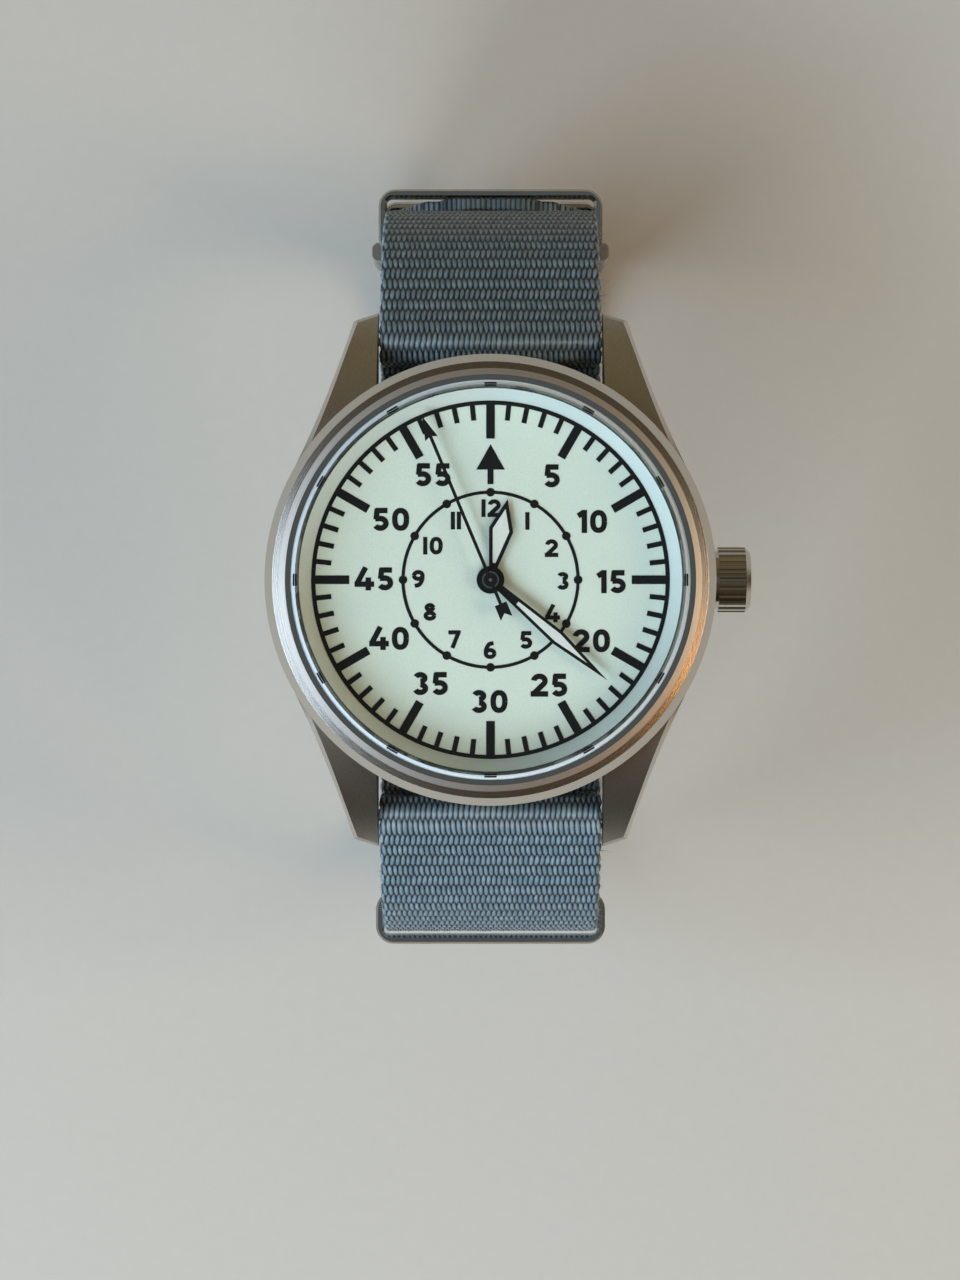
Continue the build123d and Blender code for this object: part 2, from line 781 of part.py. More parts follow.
def fourth_wheel():
    """The wheel that turns once a minute; its long arbor carries the seconds hand."""
    wheel_teeth = 70
    pinion_teeth = 10
    pinion_height = 0.42
    wheel = spoked_wheel(fourth_wheel_radius, tooth_depth, wheel_teeth, wheel_rim, 4, spoke_width,
                         fourth_pinion_radius)
    solid = slab(wheel, z_fourth_wheel, z_fourth_wheel + wheel_thickness)
    solid += slab(toothed_face(fourth_pinion_radius, tooth_depth / 2, pinion_teeth), z_fourth_wheel,
                  z_fourth_wheel + pinion_height)
    arbor_low = z_train - jewel_thickness + slip_gap
    return solid + column(arbor_radius, arbor_low, z_seconds_hand + hand_thickness / 2)


def escape_wheel():
    teeth = 20
    tooth_length = 0.5
    pinion_teeth = 7
    pinion_height = 0.3
    wheel = spoked_wheel(escape_wheel_radius, tooth_length, teeth, wheel_rim, 4, spoke_width,
                         escape_pinion_radius)
    solid = slab(wheel, z_pallet, z_pallet + wheel_thickness)
    solid += slab(toothed_face(escape_pinion_radius, tooth_depth / 2, pinion_teeth), z_fourth_wheel,
                  z_fourth_wheel + pinion_height)
    return Pos(*escape_place) * solid + pivoted_arbor(escape_place, z_train, z_plate)


def pallet_fork():
    """Two arms beside the escape wheel and a forked lever towards the balance."""
    arm_length = 1.9
    arm_width = 0.3
    arm_angles = (5, 155)
    lever_length = 1.9
    lever_width = 0.28
    fork_width = 0.7
    notch_width = 0.3
    notch_length = 0.35
    tine_root = 0.2
    fork = Circle(lever_width)
    for angle in arm_angles:
        fork += Rot(0, 0, angle) * Rectangle(arm_length, arm_width, align=(Align.MIN, Align.CENTER))
    lever = Rectangle(lever_length, lever_width, align=(Align.MIN, Align.CENTER))
    lever += Pos(lever_length, 0) * Rectangle(notch_length + tine_root, fork_width,
                                              align=(Align.MAX, Align.CENTER))
    lever -= Pos(lever_length, 0) * Rectangle(notch_length, notch_width, align=(Align.MAX, Align.CENTER))
    fork += Rot(0, 0, -75) * lever
    solid = Pos(*pallet_place) * slab(fork, z_pallet, z_pallet + wheel_thickness)
    solid += column(arbor_radius, z_pallet, z_plate - slip_gap, pallet_place)
    return solid + column(pivot_radius, z_pallet_bridge + slip_gap, z_plate + jewel_thickness / 2, pallet_place)


def balance_wheel():
    """The balance: a smooth rim with two arms and screws, its staff and the roller."""
    rim_width = 0.5
    rim_height = 0.3
    arm_width = 0.5
    roller_height = 0.2
    wheel = Circle(balance_radius) - Circle(balance_radius - rim_width)
    solid = slab(wheel, z_balance, z_balance + rim_height)
    arms = Rectangle(balance_radius * 2 - rim_width, arm_width) + Circle(arm_width)
    solid += slab(arms, z_balance, z_balance + rim_height / 2)
    roller_low = z_pallet - roller_height - slip_gap
    solid += column(roller_radius, roller_low, roller_low + roller_height)
    return Pos(*balance_place) * solid + pivoted_arbor(balance_place, z_train, z_plate)


def spiral_band(inner_radius, turns, pitch, thickness):
    """A spiral ribbon seen from above, of half turns about two centres in turn."""
    edges = []
    for shift in (0, thickness):
        radius = inner_radius + shift
        centre = 0
        for half_turn in range(turns * 2):
            sense = 1 if half_turn % 2 == 0 else -1
            start = (centre + sense * radius, 0)
            middle = (centre, sense * radius)
            end = (centre - sense * radius, 0)
            edges.append(ThreePointArc(start, middle, end))
            radius += pitch / 2
            centre += sense * pitch / 2
    first = Line((inner_radius, 0), (inner_radius + thickness, 0))
    last = Line(edges[turns * 2 - 1] @ 1, edges[-1] @ 1)
    return make_face(edges + [first, last])


def hairspring():
    """The balance's flat spiral, held at its outer end by a stud in the cock."""
    inner_radius = 0.5
    turns = 6
    pitch = 0.28
    ribbon_width = 0.06
    ribbon_height = 0.16
    stud_radius = 0.2
    spiral = spiral_band(inner_radius, turns, pitch, ribbon_width)
    spring = Pos(*balance_place) * slab(spiral, z_hairspring, z_hairspring + ribbon_height)
    stud_place = (balance_place[0] + inner_radius + turns * pitch + ribbon_width / 2, balance_place[1])
    return spring + column(stud_radius, z_train, z_hairspring + ribbon_height, stud_place)


def barrel_drum():
    """The drum that holds the mainspring, toothed round its edge and open towards the plate."""
    teeth = 96
    wall = 0.25
    floor = 0.12
    teeth_low = z_barrel + 0.3
    teeth_height = 0.3
    drum_radius = barrel_radius - tooth_depth - slip_gap
    top = z_plate - crown_gap
    drum = tube(drum_radius, drum_radius - wall, z_barrel, top)
    drum += column(drum_radius - wall / 2, z_barrel, z_barrel + floor)
    drum += slab(toothed_face(barrel_radius, tooth_depth, teeth) - Circle(drum_radius - wall / 2), teeth_low,
                 teeth_low + teeth_height)
    drum -= column(barrel_arbor_radius + running_gap, z_barrel - overrun, top + overrun)
    return Pos(*barrel_place) * drum


def mainspring():
    inner_radius = 1.1
    turns = 7
    pitch = 0.44
    ribbon_width = 0.12
    floor = 0.12
    low = z_barrel + floor + slip_gap
    spiral = spiral_band(inner_radius, turns, pitch, ribbon_width)
    return Pos(*barrel_place) * slab(spiral, low, z_plate - crown_gap * 2)


def barrel_arbor():
    """The arbor between the bridge and the plate; its square end stands just proud of the ratchet wheel."""
    proud = 0.05
    return column(barrel_arbor_radius, z_bridge - proud, z_plate - slip_gap, barrel_place)


ratchet_lift = 0.05
ratchet_thickness = 0.3


def ratchet_wheel():
    teeth = 56
    wheel = toothed_face(ratchet_radius, tooth_depth, teeth) - Circle(barrel_arbor_radius + press_gap)
    return Pos(*barrel_place) * slab(wheel, z_bridge + ratchet_lift, z_bridge + ratchet_lift + ratchet_thickness)


def crown_wheel():
    """The wheel between the winding pinion and the ratchet wheel, on a boss in the bridge."""
    teeth = 48
    wheel = toothed_face(crown_wheel_radius, tooth_depth, teeth) - Circle(crown_wheel_boss_radius + running_gap)
    return Pos(*crown_wheel_place) * slab(wheel, z_bridge + ratchet_lift, z_bridge + ratchet_lift + ratchet_thickness)


# Movement: hand wheels in front of the plate

dial_to_hour_wheel = 0.08
z_hour_wheel = z_dial - dial_to_hour_wheel - wheel_thickness


def minute_wheel():
    """The wheel and pinion that join the cannon pinion to the hour wheel, on a post of the plate."""
    wheel_teeth = 36
    pinion_teeth = 10
    bore = Circle(minute_wheel_post_radius + running_gap)
    wheel = toothed_face(minute_wheel_radius, tooth_depth, wheel_teeth) - bore
    pinion = toothed_face(minute_pinion_radius, tooth_depth, pinion_teeth) - bore
    solid = slab(wheel, z_works + slip_gap, z_works + slip_gap + wheel_thickness)
    solid += slab(pinion, z_works + slip_gap, z_hour_wheel + wheel_thickness)
    return Pos(*minute_wheel_place) * solid


def hour_wheel():
    """The wheel that turns once in twelve hours, with the tube that carries the hour hand."""
    teeth = 40
    wheel = toothed_face(hour_wheel_radius, tooth_depth, teeth)
    solid = slab(wheel, z_hour_wheel, z_hour_wheel + wheel_thickness)
    solid += column(hour_tube_radius, z_hour_wheel, z_hour_hand + hand_thickness)
    return solid - column(cannon_radius + slip_gap, z_hour_wheel - overrun, z_minute_hand + overrun)


# Movement: the winding rotor

axle_radius = 1.0
ball_radius = 0.27
race_gap = 0.03
ball_circle_radius = axle_radius + race_gap + ball_radius
rotor_bore_radius = ball_circle_radius + ball_radius + race_gap


def rotor_axle():
    head_height = 0.15
    head_radius = rotor_bore_radius - slip_gap * 2
    return column(axle_radius, z_rotor, z_bridge) + column(head_radius, z_rotor - head_height, z_rotor)


def rotor_balls():
    count = 7
    balls = []
    for index in range(count):
        place = polar(ball_circle_radius, 360 * index / count)
        balls.append(Pos(place[0], place[1], z_rotor + rotor_thickness / 2) * Sphere(ball_radius))
    return group(balls)


def rotor():
    """A half disc: a thin web with a heavy rim, on a hub with a ball race."""
    rotor_inset = 0.6
    rotor_radius = plate_radius - rotor_inset
    rim_width = 1.5
    web_thickness = 0.4
    hub_wall = 0.9
    rotor_top = z_rotor + rotor_thickness
    web_low = rotor_top - web_thickness
    half = column(rotor_radius, z_rotor, rotor_top)
    half -= column(rotor_radius - rim_width, z_rotor - overrun, web_low)
    half -= block(-rotor_radius - overrun, rotor_radius + overrun, 0, rotor_radius + overrun,
                  z_rotor - overrun, rotor_top + overrun)
    half += column(rotor_bore_radius + hub_wall, z_rotor, rotor_top)
    return half - column(rotor_bore_radius, z_rotor - overrun, rotor_top + overrun)


# Crown and winding

crown_start = case_radius + crown_gap
crown_cavity_radius = 1.9
crown_tube_radius = 1.25
crown_tube_inner = stem_radius + crown_gap * 2
crown_cavity_depth = 1.8


def crown_tube():
    tube_end = crown_start + crown_cavity_depth / 2
    return along_x(tube(crown_tube_radius, crown_tube_inner, movement_bore_radius + crown_gap, tube_end))


def crown():
    """A fluted crown with a plain collar, a domed end and a cavity that covers the tube."""
    collar_length = 0.35
    collar_step = 0.35
    collar_radius = crown_radius - collar_step
    end_chamfer = 0.45
    flute_radius = 0.24
    flute_sink = 0.06
    end = crown_start + crown_length
    knob = column(crown_radius, crown_start + collar_length, end)
    knob = chamfer(knob.edges().sort_by(Axis.Z)[-1], end_chamfer)
    flutes = [
        column(flute_radius, crown_start, end - end_chamfer,
               polar(crown_radius + flute_sink, 360 * index / crown_flutes))
        for index in range(crown_flutes)
    ]
    knob -= flutes
    knob += column(collar_radius, crown_start, crown_start + collar_length)
    knob -= column(crown_cavity_radius, crown_start - overrun, crown_start + crown_cavity_depth)
    knob -= column(stem_radius + press_gap, crown_start, end - end_chamfer)
    return along_x(knob)


def crown_gasket():
    inset = 0.15
    length = 0.4
    start = crown_start + inset
    return along_x(tube(crown_cavity_radius - press_gap, crown_tube_radius + slip_gap, start, start + length))


clutch_start = 5.8
stem_start = clutch_start - crown_pull
clutch_length = 1.4
clutch_to_pinion = 0.15
pinion_start = clutch_start + clutch_length + clutch_to_pinion
winding_pinion_length = 1.2
winding_radius = 0.85


def winding_stem():
    short_of_end = 0.5
    end = crown_start + crown_length - short_of_end
    return along_x(column(stem_radius, stem_start, end))


def winding_sleeve(start, length):
    teeth = 14
    face = toothed_face(winding_radius, tooth_depth, teeth) - Circle(stem_radius + running_gap)
    return along_x(slab(face, start, start + length))


def winding_pinion():
    return winding_sleeve(pinion_start, winding_pinion_length)


def clutch_wheel():
    return winding_sleeve(clutch_start, clutch_length)


# Spring bars

def spring_bars():
    """The two bar tubes; the sprung pins slide in their ends."""
    bars = []
    for sense in (1, -1):
        bar = along_x(tube(bar_radius, pin_radius + slip_gap, -bar_length / 2, bar_length / 2), z_bar)
        bars.append(Pos(0, sense * bar_reach, 0) * bar)
    return group(bars)


def spring_bar_pin(side, end):
    """One sprung pin: side is 1 at twelve and -1 at six, end is 1 at the crown's side.

    Inside its tube it is long enough to stay held over its travel.
    """
    held = 2.2
    start = bar_length / 2 - held - pin_travel
    pin = along_x(column(pin_radius, start, bar_length / 2 + pin_showing), z_bar)
    if end < 0:
        pin = mirror(pin, about=Plane.YZ)
    return Pos(0, side * bar_reach, 0) * pin


# Strap. Its route is drawn from the crown's side: real part along Y, imaginary part up.

case_gap = 0.15
under_bend_radius = 1.4
fold_gap = 0.1
fold_radius = buckle_bar_radius + fold_gap + half_strap
z_under_main = z_back - case_gap - half_strap
z_under_flap = z_under_main - layer_pitch
fold_height = 7.5
tail_lean = 0.5
buckle_bar_place = complex(loop_side_twelve - fold_radius, buckle_bar_height)


def band_side(points, radii, shift):
    """One side of a band, a shift to the left of its middle line, as runs joined by arcs."""
    edges = []
    here = points[0] + shift * 1j * (points[1] - points[0]) / abs(points[1] - points[0])
    for before, corner, after, radius in zip(points, points[1:], points[2:], radii):
        course = (corner - before) / abs(corner - before)
        next_course = (after - corner) / abs(after - corner)
        turn = phase(next_course / course)
        sense = 1 if turn > 0 else -1
        reach = radius * tan(abs(turn) / 2)
        centre = corner - reach * course + sense * radius * 1j * course
        start = corner - reach * course + shift * 1j * course
        end = corner + reach * next_course + shift * 1j * next_course
        middle = centre + (corner - centre) / abs(corner - centre) * (radius - sense * shift)
        if abs(start - here) > shortest_run:
            edges.append(Line(flat(here), flat(start)))
        edges.append(ThreePointArc(flat(start), flat(middle), flat(end)))
        here = end
    course = (points[-1] - points[-2]) / abs(points[-1] - points[-2])
    edges.append(Line(flat(here), flat(points[-1] + shift * 1j * course)))
    return edges


def flat(place):
    return (place.real, place.imag)


def eased(share):
    """A bend whose arc takes a share of the shorter of the two runs that meet."""
    def radius(before, corner, after):
        turn = phase((after - corner) / (corner - before))
        return share * min(abs(corner - before), abs(after - corner)) / tan(abs(turn) / 2)
    return radius


def exactly(radius):
    """A bend of one radius, round a bar or in a fold."""
    return lambda before, corner, after: radius


def band(points, bends):
    """A strap that follows a route: both sides, closed by its cut ends."""
    radii = [bend(*corners) for bend, corners in zip(bends, zip(points, points[1:], points[2:]), strict=True)]
    left = band_side(points, radii, half_strap)
    right = band_side(points, radii, -half_strap)
    ends = [Line(left[0] @ 0, right[0] @ 0), Line(left[-1] @ 1, right[-1] @ 1)]
    return extrude(Plane.YZ * make_face(left + right + ends), amount=strap_width / 2, both=True)


def other_side(place):
    return complex(-place.real, place.imag)


def bar_corner(shoulder):
    """Where the upright run beside the case meets the run that falls to a shoulder of the loop."""
    centre = complex(bar_reach, z_bar)
    away = shoulder - centre
    heading = phase(away) - asin(bar_wrap_radius / abs(away))
    course = exp(1j * heading)
    touch = centre + bar_wrap_radius * 1j * course
    upright = bar_reach - bar_wrap_radius
    return touch + course * (upright - touch.real) / course.real


shoulder_twelve = complex(0.897 * loop_side_twelve, 0.929 * case_back_height)
side_twelve = complex(loop_side_twelve, 0.75 * case_back_height)
shoulder_six = complex(-0.906 * loop_side_six, 0.942 * case_back_height)
side_six = complex(-loop_side_six, 0.802 * case_back_height)


def buckle_fold():
    """The sewn end: down behind the strap, round the buckle's bar and up again."""
    behind = loop_side_twelve - layer_pitch
    inner_leg = buckle_bar_place.real - fold_radius
    bottom = buckle_bar_height - fold_radius
    neck_rise = 0.7 * fold_height
    waist_rise = 0.35 * fold_height
    points = [
        complex(behind, buckle_bar_height + fold_height),
        complex(behind, buckle_bar_height + neck_rise),
        complex(inner_leg, buckle_bar_height + waist_rise),
        complex(inner_leg, bottom),
        complex(loop_side_twelve, bottom),
    ]
    return points, [eased(0.301), eased(0.233), exactly(fold_radius), exactly(fold_radius)]


def loop_bottom():
    """Down the six o'clock side, along the flat stretch and up behind the buckle."""
    tail_side = loop_side_twelve + layer_pitch
    points = [
        complex(-loop_side_six, 0.271 * case_back_height),
        complex(-0.821 * loop_side_six, 0.067 * case_back_height),
        complex(-0.486 * loop_side_six, half_strap),
        complex(0.43 * loop_side_twelve, half_strap),
        complex(0.865 * loop_side_twelve, 0.2416 * buckle_bar_height),
        complex(tail_side, 0.708 * buckle_bar_height),
        complex(tail_side, tail_tip_height - 0.146 * loop_side_twelve),
        complex(tail_side + tail_lean, tail_tip_height),
    ]
    return points, [eased(share) for share in (0.583, 0.373, 0.461, 0.291, 0.442, 0.531, 0.239)]


def strap_main():
    """The long strap, from the fold on the buckle round to its rounded tail."""
    under = complex(bar_reach - bar_wrap_radius, z_under_main)
    fold_points, fold_bends = buckle_fold()
    bottom_points, bottom_bends = loop_bottom()
    points = fold_points + [
        side_twelve,
        shoulder_twelve,
        bar_corner(shoulder_twelve),
        under,
        other_side(under),
        other_side(bar_corner(other_side(shoulder_six))),
        shoulder_six,
        side_six,
    ] + bottom_points
    bends = fold_bends + [
        eased(0.431),
        eased(0.465),
        exactly(bar_wrap_radius),
        exactly(under_bend_radius),
        exactly(under_bend_radius),
        exactly(bar_wrap_radius),
        eased(0.434),
        eased(0.533),
    ] + bottom_bends
    strap = band(points, bends) - tail_trim()
    notch_half = 1.3
    notch_top = buckle_bar_height + fold_radius * 2
    strap -= block(-notch_half, notch_half, buckle_bar_place.real - fold_radius * 2,
                   loop_side_twelve + half_strap + layer_gap / 2, buckle_bar_height - fold_radius * 2, notch_top)
    return strap - strap_holes()


def tail_trim():
    """What is cut away at the tail to leave a rounded tip."""
    tip_radius = 0.45 * strap_width
    tail_side = loop_side_twelve + layer_pitch
    near = tail_side - half_strap - layer_gap / 2
    far = tail_side + tail_lean + strap_thickness
    rounded = RectangleRounded(strap_width, 4 * tip_radius, tip_radius)
    rounded = Plane.XZ * Pos(0, tail_tip_height - 2 * tip_radius) * rounded
    keep = extrude(rounded, amount=2 * loop_side_twelve, both=True)
    half = strap_width / 2 + overrun
    return block(-half, half, near, far, tail_tip_height - tip_radius, tail_tip_height + overrun) - keep


hole_width = 2.2
hole_length = 4.6
hole_place_share = 0.56
tail_course_angle = 54.0


def strap_holes():
    """The slot that the tongue stands in, and the round holes before and after it."""
    hole_radius = 1.0
    hole_spacing = 6.5
    hole_count = 4
    first_hole = 8.5
    crossing = shifted(flat(buckle_bar_place), hole_place_share * buckle_length, tongue_angle)
    slot = Rot(tail_course_angle, 0, 0) * Box(hole_width, hole_length, strap_thickness * 3)
    cuts = [Pos(0, crossing[0], crossing[1]) * slot]
    for index in range(hole_count):
        cuts.append(column(hole_radius, -overrun, strap_thickness + overrun, (0, first_hole - index * hole_spacing)))
    return cuts


def strap_flap():
    """The short strap: inside the long one, straight under the case, to the ring that it holds."""
    behind = loop_side_twelve - layer_pitch
    before_six = layer_pitch - loop_side_six
    start = complex(behind, buckle_bar_height + fold_height + layer_gap * 2)
    bar_place = flap_ring_bar()
    wrap = ring_bar_thickness / 2 + fold_gap + half_strap
    bottom = flap_ring_height - ring_bar_width / 2 - fold_gap - half_strap
    points = [
        start,
        complex(behind, side_twelve.imag - 0.2 * layer_pitch),
        complex(shoulder_twelve.real - 0.86 * layer_pitch, shoulder_twelve.imag - 0.54 * layer_pitch),
        complex(0.573 * loop_side_twelve, z_under_flap),
        complex(-0.608 * loop_side_six, z_under_flap),
        complex(shoulder_six.real + 0.64 * layer_pitch, shoulder_six.imag - layer_pitch),
        complex(before_six, side_six.imag - 0.22 * layer_pitch),
        complex(before_six, bottom),
        complex(bar_place.real + wrap, bottom),
        complex(bar_place.real + wrap, flap_ring_height + ring_bar_width),
    ]
    bends = [eased(share) for share in (0.425, 0.485, 0.189, 0.244, 0.399, 0.587)]
    return band(points, bends + [exactly(wrap), exactly(wrap)])


# Rings on the strap

def strap_ring(outer_side, height, depth):
    """A rounded rectangular ring round the strap; outer_side is its outer face, along Y."""
    sense = 1 if outer_side > 0 else -1
    middle = outer_side - sense * depth / 2
    face = RectangleRounded(ring_width, depth, ring_corner_radius)
    inside = (ring_width - 2 * ring_bar_thickness, depth - 2 * ring_bar_thickness)
    face -= RectangleRounded(inside[0], inside[1], ring_inner_corner)
    low = height - ring_bar_width / 2
    ring = Pos(0, middle, 0) * slab(face, low, low + ring_bar_width)
    edge = 0.2
    return chamfer(ring.edges().filter_by(Plane.XY), edge)


def flap_ring_bar():
    """Middle of the flap ring's inner bar, which the flap folds round."""
    return complex(layer_pitch - loop_side_six + half_strap + fold_gap + ring_bar_thickness / 2, flap_ring_height)


flap_ring_depth = 5.0
fixed_ring_depth = 3 * strap_thickness + 4 * layer_gap + 2 * ring_bar_thickness
sliding_ring_depth = fixed_ring_depth + tail_lean


def flap_ring():
    outer = flap_ring_bar().real - ring_bar_thickness / 2 - (flap_ring_depth - ring_bar_thickness)
    return strap_ring(outer, flap_ring_height, flap_ring_depth)


ring_outer_fixed = loop_side_twelve + layer_pitch + half_strap + layer_gap + ring_bar_thickness


def keeper_ring_fixed():
    return strap_ring(ring_outer_fixed, fixed_ring_height, fixed_ring_depth)


def keeper_ring_sliding():
    return strap_ring(ring_outer_fixed + tail_lean, sliding_ring_height, sliding_ring_depth)


# Buckle. Drawn flat, with the bar on X and the frame along Y, then hung at the bar's place.

arm_width = 1.7
frame_gap = 0.4
frame_thickness = 1.8
frame_half = strap_width / 2 + frame_gap + arm_width
far_bar_reach = buckle_length + far_bar_thickness / 2
tongue_thickness = 1.0
tongue_width = 1.9
tongue_overhang = 0.9
tongue_lift = frame_thickness / 2 + slip_gap + tongue_thickness / 2
tongue_tilt = asin(tongue_lift / (buckle_length - far_bar_thickness / 2)) * 180 / pi
tongue_angle = buckle_angle + tongue_tilt


def hung(shape, angle):
    """Turn a flat shape about the buckle's bar and set it at the bar's place."""
    place = flat(buckle_bar_place)
    return Pos(0, place[0], place[1]) * Rot(angle, 0, 0) * shape


def buckle_frame():
    heel = 1.2
    corner = 2.2
    edge = 0.4
    outline = Rectangle(frame_half * 2, far_bar_reach + heel, align=(Align.CENTER, Align.MIN))
    outline = Pos(0, -heel) * outline
    inner = frame_half - arm_width
    opening = Rectangle(inner * 2, heel + overrun + far_bar_reach - far_bar_thickness,
                        align=(Align.CENTER, Align.MIN))
    outline -= Pos(0, -heel - overrun) * opening
    outline = fillet(outline.vertices().group_by(Axis.Y)[-1], corner)
    frame = slab(outline, -frame_thickness / 2, frame_thickness / 2)
    outer_edges = frame.edges().filter_by(lambda item: on_frame_rim(item, heel))
    frame = chamfer(outer_edges, edge)
    bore = buckle_bar_radius + press_gap
    frame -= Rot(0, 90, 0) * column(bore, -frame_half - overrun, frame_half + overrun)
    return hung(frame, buckle_angle)


def on_frame_rim(item, heel):
    """True for the level edges that run round the outside of the frame."""
    middle = item @ 0.5
    level = abs(abs(middle.Z) - frame_thickness / 2) < shortest_run
    outside = abs(middle.X) > frame_half - arm_width / 2 or middle.Y > far_bar_reach - far_bar_thickness / 2
    return level and outside and middle.Y > -heel + shortest_run


def buckle_bar():
    half = frame_half - frame_gap
    return hung(Rot(0, 90, 0) * column(buckle_bar_radius, -half, half), buckle_angle)


def buckle_tongue():
    """A prong with an eye round the bar; its tip lies on the frame's far bar."""
    bore = buckle_bar_radius + slip_gap
    eye_wall = 0.55
    eye_radius = bore + eye_wall
    length = buckle_length / cos(radians(tongue_tilt)) + tongue_overhang
    prong = Rectangle(length, tongue_thickness, align=(Align.MIN, Align.CENTER)) + Circle(eye_radius)
    prong = prong - Circle(bore)
    solid = extrude(Plane.YZ * prong, amount=tongue_width / 2, both=True)
    return hung(solid, tongue_angle)


# Every piece with the name of its file

def all_pieces():
    pieces = [
        mid_case, bezel, crystal, crystal_gasket, flange_ring, case_back, case_back_gasket,
        dial, minute_track, hour_circle,
        hour_hand, hour_hand_lume, minute_hand, minute_hand_lume, seconds_hand,
        movement_ring, main_plate, barrel_bridge, train_bridge, balance_cock, pallet_bridge, jewels,
        bridge_screws, center_wheel, cannon_pinion, third_wheel, fourth_wheel, escape_wheel, pallet_fork,
        balance_wheel, hairspring, barrel_drum, mainspring, barrel_arbor, ratchet_wheel, crown_wheel,
        minute_wheel, hour_wheel, rotor_axle, rotor_balls, rotor,
        crown_tube, crown, crown_gasket, winding_stem, winding_pinion, clutch_wheel,
        spring_bars, strap_main, strap_flap, flap_ring, keeper_ring_fixed, keeper_ring_sliding,
        buckle_frame, buckle_bar, buckle_tongue,
    ]
    named = {piece.__name__: piece() for piece in pieces}
    for side, side_name in ((1, "twelve"), (-1, "six")):
        for end, end_name in ((1, "crown_side"), (-1, "far_side")):
            named[f"spring_bar_pin_{side_name}_{end_name}"] = spring_bar_pin(side, end)
    return named


os.makedirs("parts", exist_ok=True)
for name, shape in all_pieces().items():
    export_step(shape, f"parts/{name}.step")
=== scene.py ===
"""Weaves the strap, prints the dial and finishes the metal of a pilot watch, then lights it."""

import bpy
import numpy as np
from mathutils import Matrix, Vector


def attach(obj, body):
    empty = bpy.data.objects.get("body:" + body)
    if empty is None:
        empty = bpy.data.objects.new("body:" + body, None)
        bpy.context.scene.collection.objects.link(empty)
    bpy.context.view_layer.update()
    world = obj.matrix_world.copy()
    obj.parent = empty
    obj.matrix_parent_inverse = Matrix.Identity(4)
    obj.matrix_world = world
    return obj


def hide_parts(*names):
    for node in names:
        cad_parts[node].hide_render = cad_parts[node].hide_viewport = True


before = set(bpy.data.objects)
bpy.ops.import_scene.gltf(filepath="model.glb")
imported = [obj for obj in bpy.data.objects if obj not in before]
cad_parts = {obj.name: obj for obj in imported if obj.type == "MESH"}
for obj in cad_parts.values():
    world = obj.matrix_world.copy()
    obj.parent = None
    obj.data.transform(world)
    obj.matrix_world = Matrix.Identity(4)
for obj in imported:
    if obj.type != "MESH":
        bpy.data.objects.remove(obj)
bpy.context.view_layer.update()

bl_info = {
    "name": "Pilot Watch Finisher",
    "version": (1, 0, 0),
    "blender": (4, 5, 0),
    "location": "3D Viewport > Sidebar > Watch",
    "description": "Weaves the strap, prints the dial and finishes the metal of a pilot watch",
    "category": "Object",
}

MM = 0.001


# Colours

def srgb(red, green, blue):
    """A colour given as it looks, from 0 to 255, as the linear colour that Blender works in."""
    share = np.array((red, green, blue)) / 255
    linear = np.where(share <= 0.04045, share / 12.92, ((share + 0.055) / 1.055) ** 2.4)
    return tuple(linear.tolist())


def toned(colour, share):
    """A colour made darker, or paler up to white."""
    return [min(1.0, share * part) for part in colour]


def opaque(colour):
    return (*colour[:3], 1.0)


# Settings

def length_setting(name, description, millimetres):
    """A length that the user can change."""
    return bpy.props.FloatProperty(
        name=name, description=description, default=millimetres * MM, subtype="DISTANCE",
        unit="LENGTH", precision=5)


def colour_setting(name, description, red, green, blue):
    """A colour that the user can change, given as it looks."""
    return bpy.props.FloatVectorProperty(
        name=name, description=description, default=srgb(red, green, blue), subtype="COLOR",
        size=3, min=0.0, max=1.0)


class WatchStrapSettings(bpy.types.PropertyGroup):
    """Sizes and colours of the webbing."""

    rib_pitch: length_setting("Rib pitch", "From one rib of the webbing to the next", 1.28)
    yarns: bpy.props.IntProperty(
        name="Yarns", description="Yarns that show side by side on one rib",
        default=40, min=8, max=60)
    relief: length_setting("Relief", "Height of a yarn over the valley between two ribs", 0.2)
    light: colour_setting("Yarn", "Colour of a yarn's crown", 124, 152, 166)
    # Patches of this paler colour are partly faded yarn and partly a painted sheen that stands in
    # for the yarns' highlights.
    fading_and_sheen: colour_setting("Worn yarn", "Colour where the yarn has faded", 186, 208, 218)
    # Painted shade: the valley colour darkens the low places between the yarns' grains.
    painted_valley_shade: colour_setting("Valley", "Colour down between the yarns", 12, 19, 26)
    fibres: bpy.props.IntProperty(
        name="Loose fibres", description="Short ends that stand out of the edges",
        default=900, min=0, max=4000)


class WatchDialSettings(bpy.types.PropertyGroup):
    """Colours and sizes of the dial's print."""

    ground: colour_setting("Ground", "Colour of the dial's luminous coat", 224, 236, 219)
    ink: colour_setting("Ink", "Colour of the print and of the hands' frames", 11, 13, 13)
    minute_height: length_setting("Minute numerals", "Height of the outer numerals", 2.06)
    hour_height: length_setting("Hour numerals", "Height of the inner numerals", 1.58)


class WatchMetalSettings(bpy.types.PropertyGroup):
    """Colours of the metals."""

    steel: colour_setting("Steel", "Colour of the case, rings and buckle", 205, 200, 192)
    gilt: colour_setting("Gilt", "Colour of the train wheels", 222, 190, 120)


class WatchStageSettings(bpy.types.PropertyGroup):
    """The floor and the light."""

    floor: colour_setting("Floor", "Colour of the floor", 198, 193, 183)
    key: bpy.props.FloatProperty(
        name="Key light", description="Power of the large light on the left",
        default=2.7, min=0.0, unit="POWER")
    room: bpy.props.FloatProperty(
        name="Room light", description="Strength of the light that comes from all round",
        default=0.9, min=0.0)


SETTINGS = {
    "watch_strap": WatchStrapSettings,
    "watch_dial": WatchDialSettings,
    "watch_metal": WatchMetalSettings,
    "watch_stage": WatchStageSettings,
}


# Shader maths

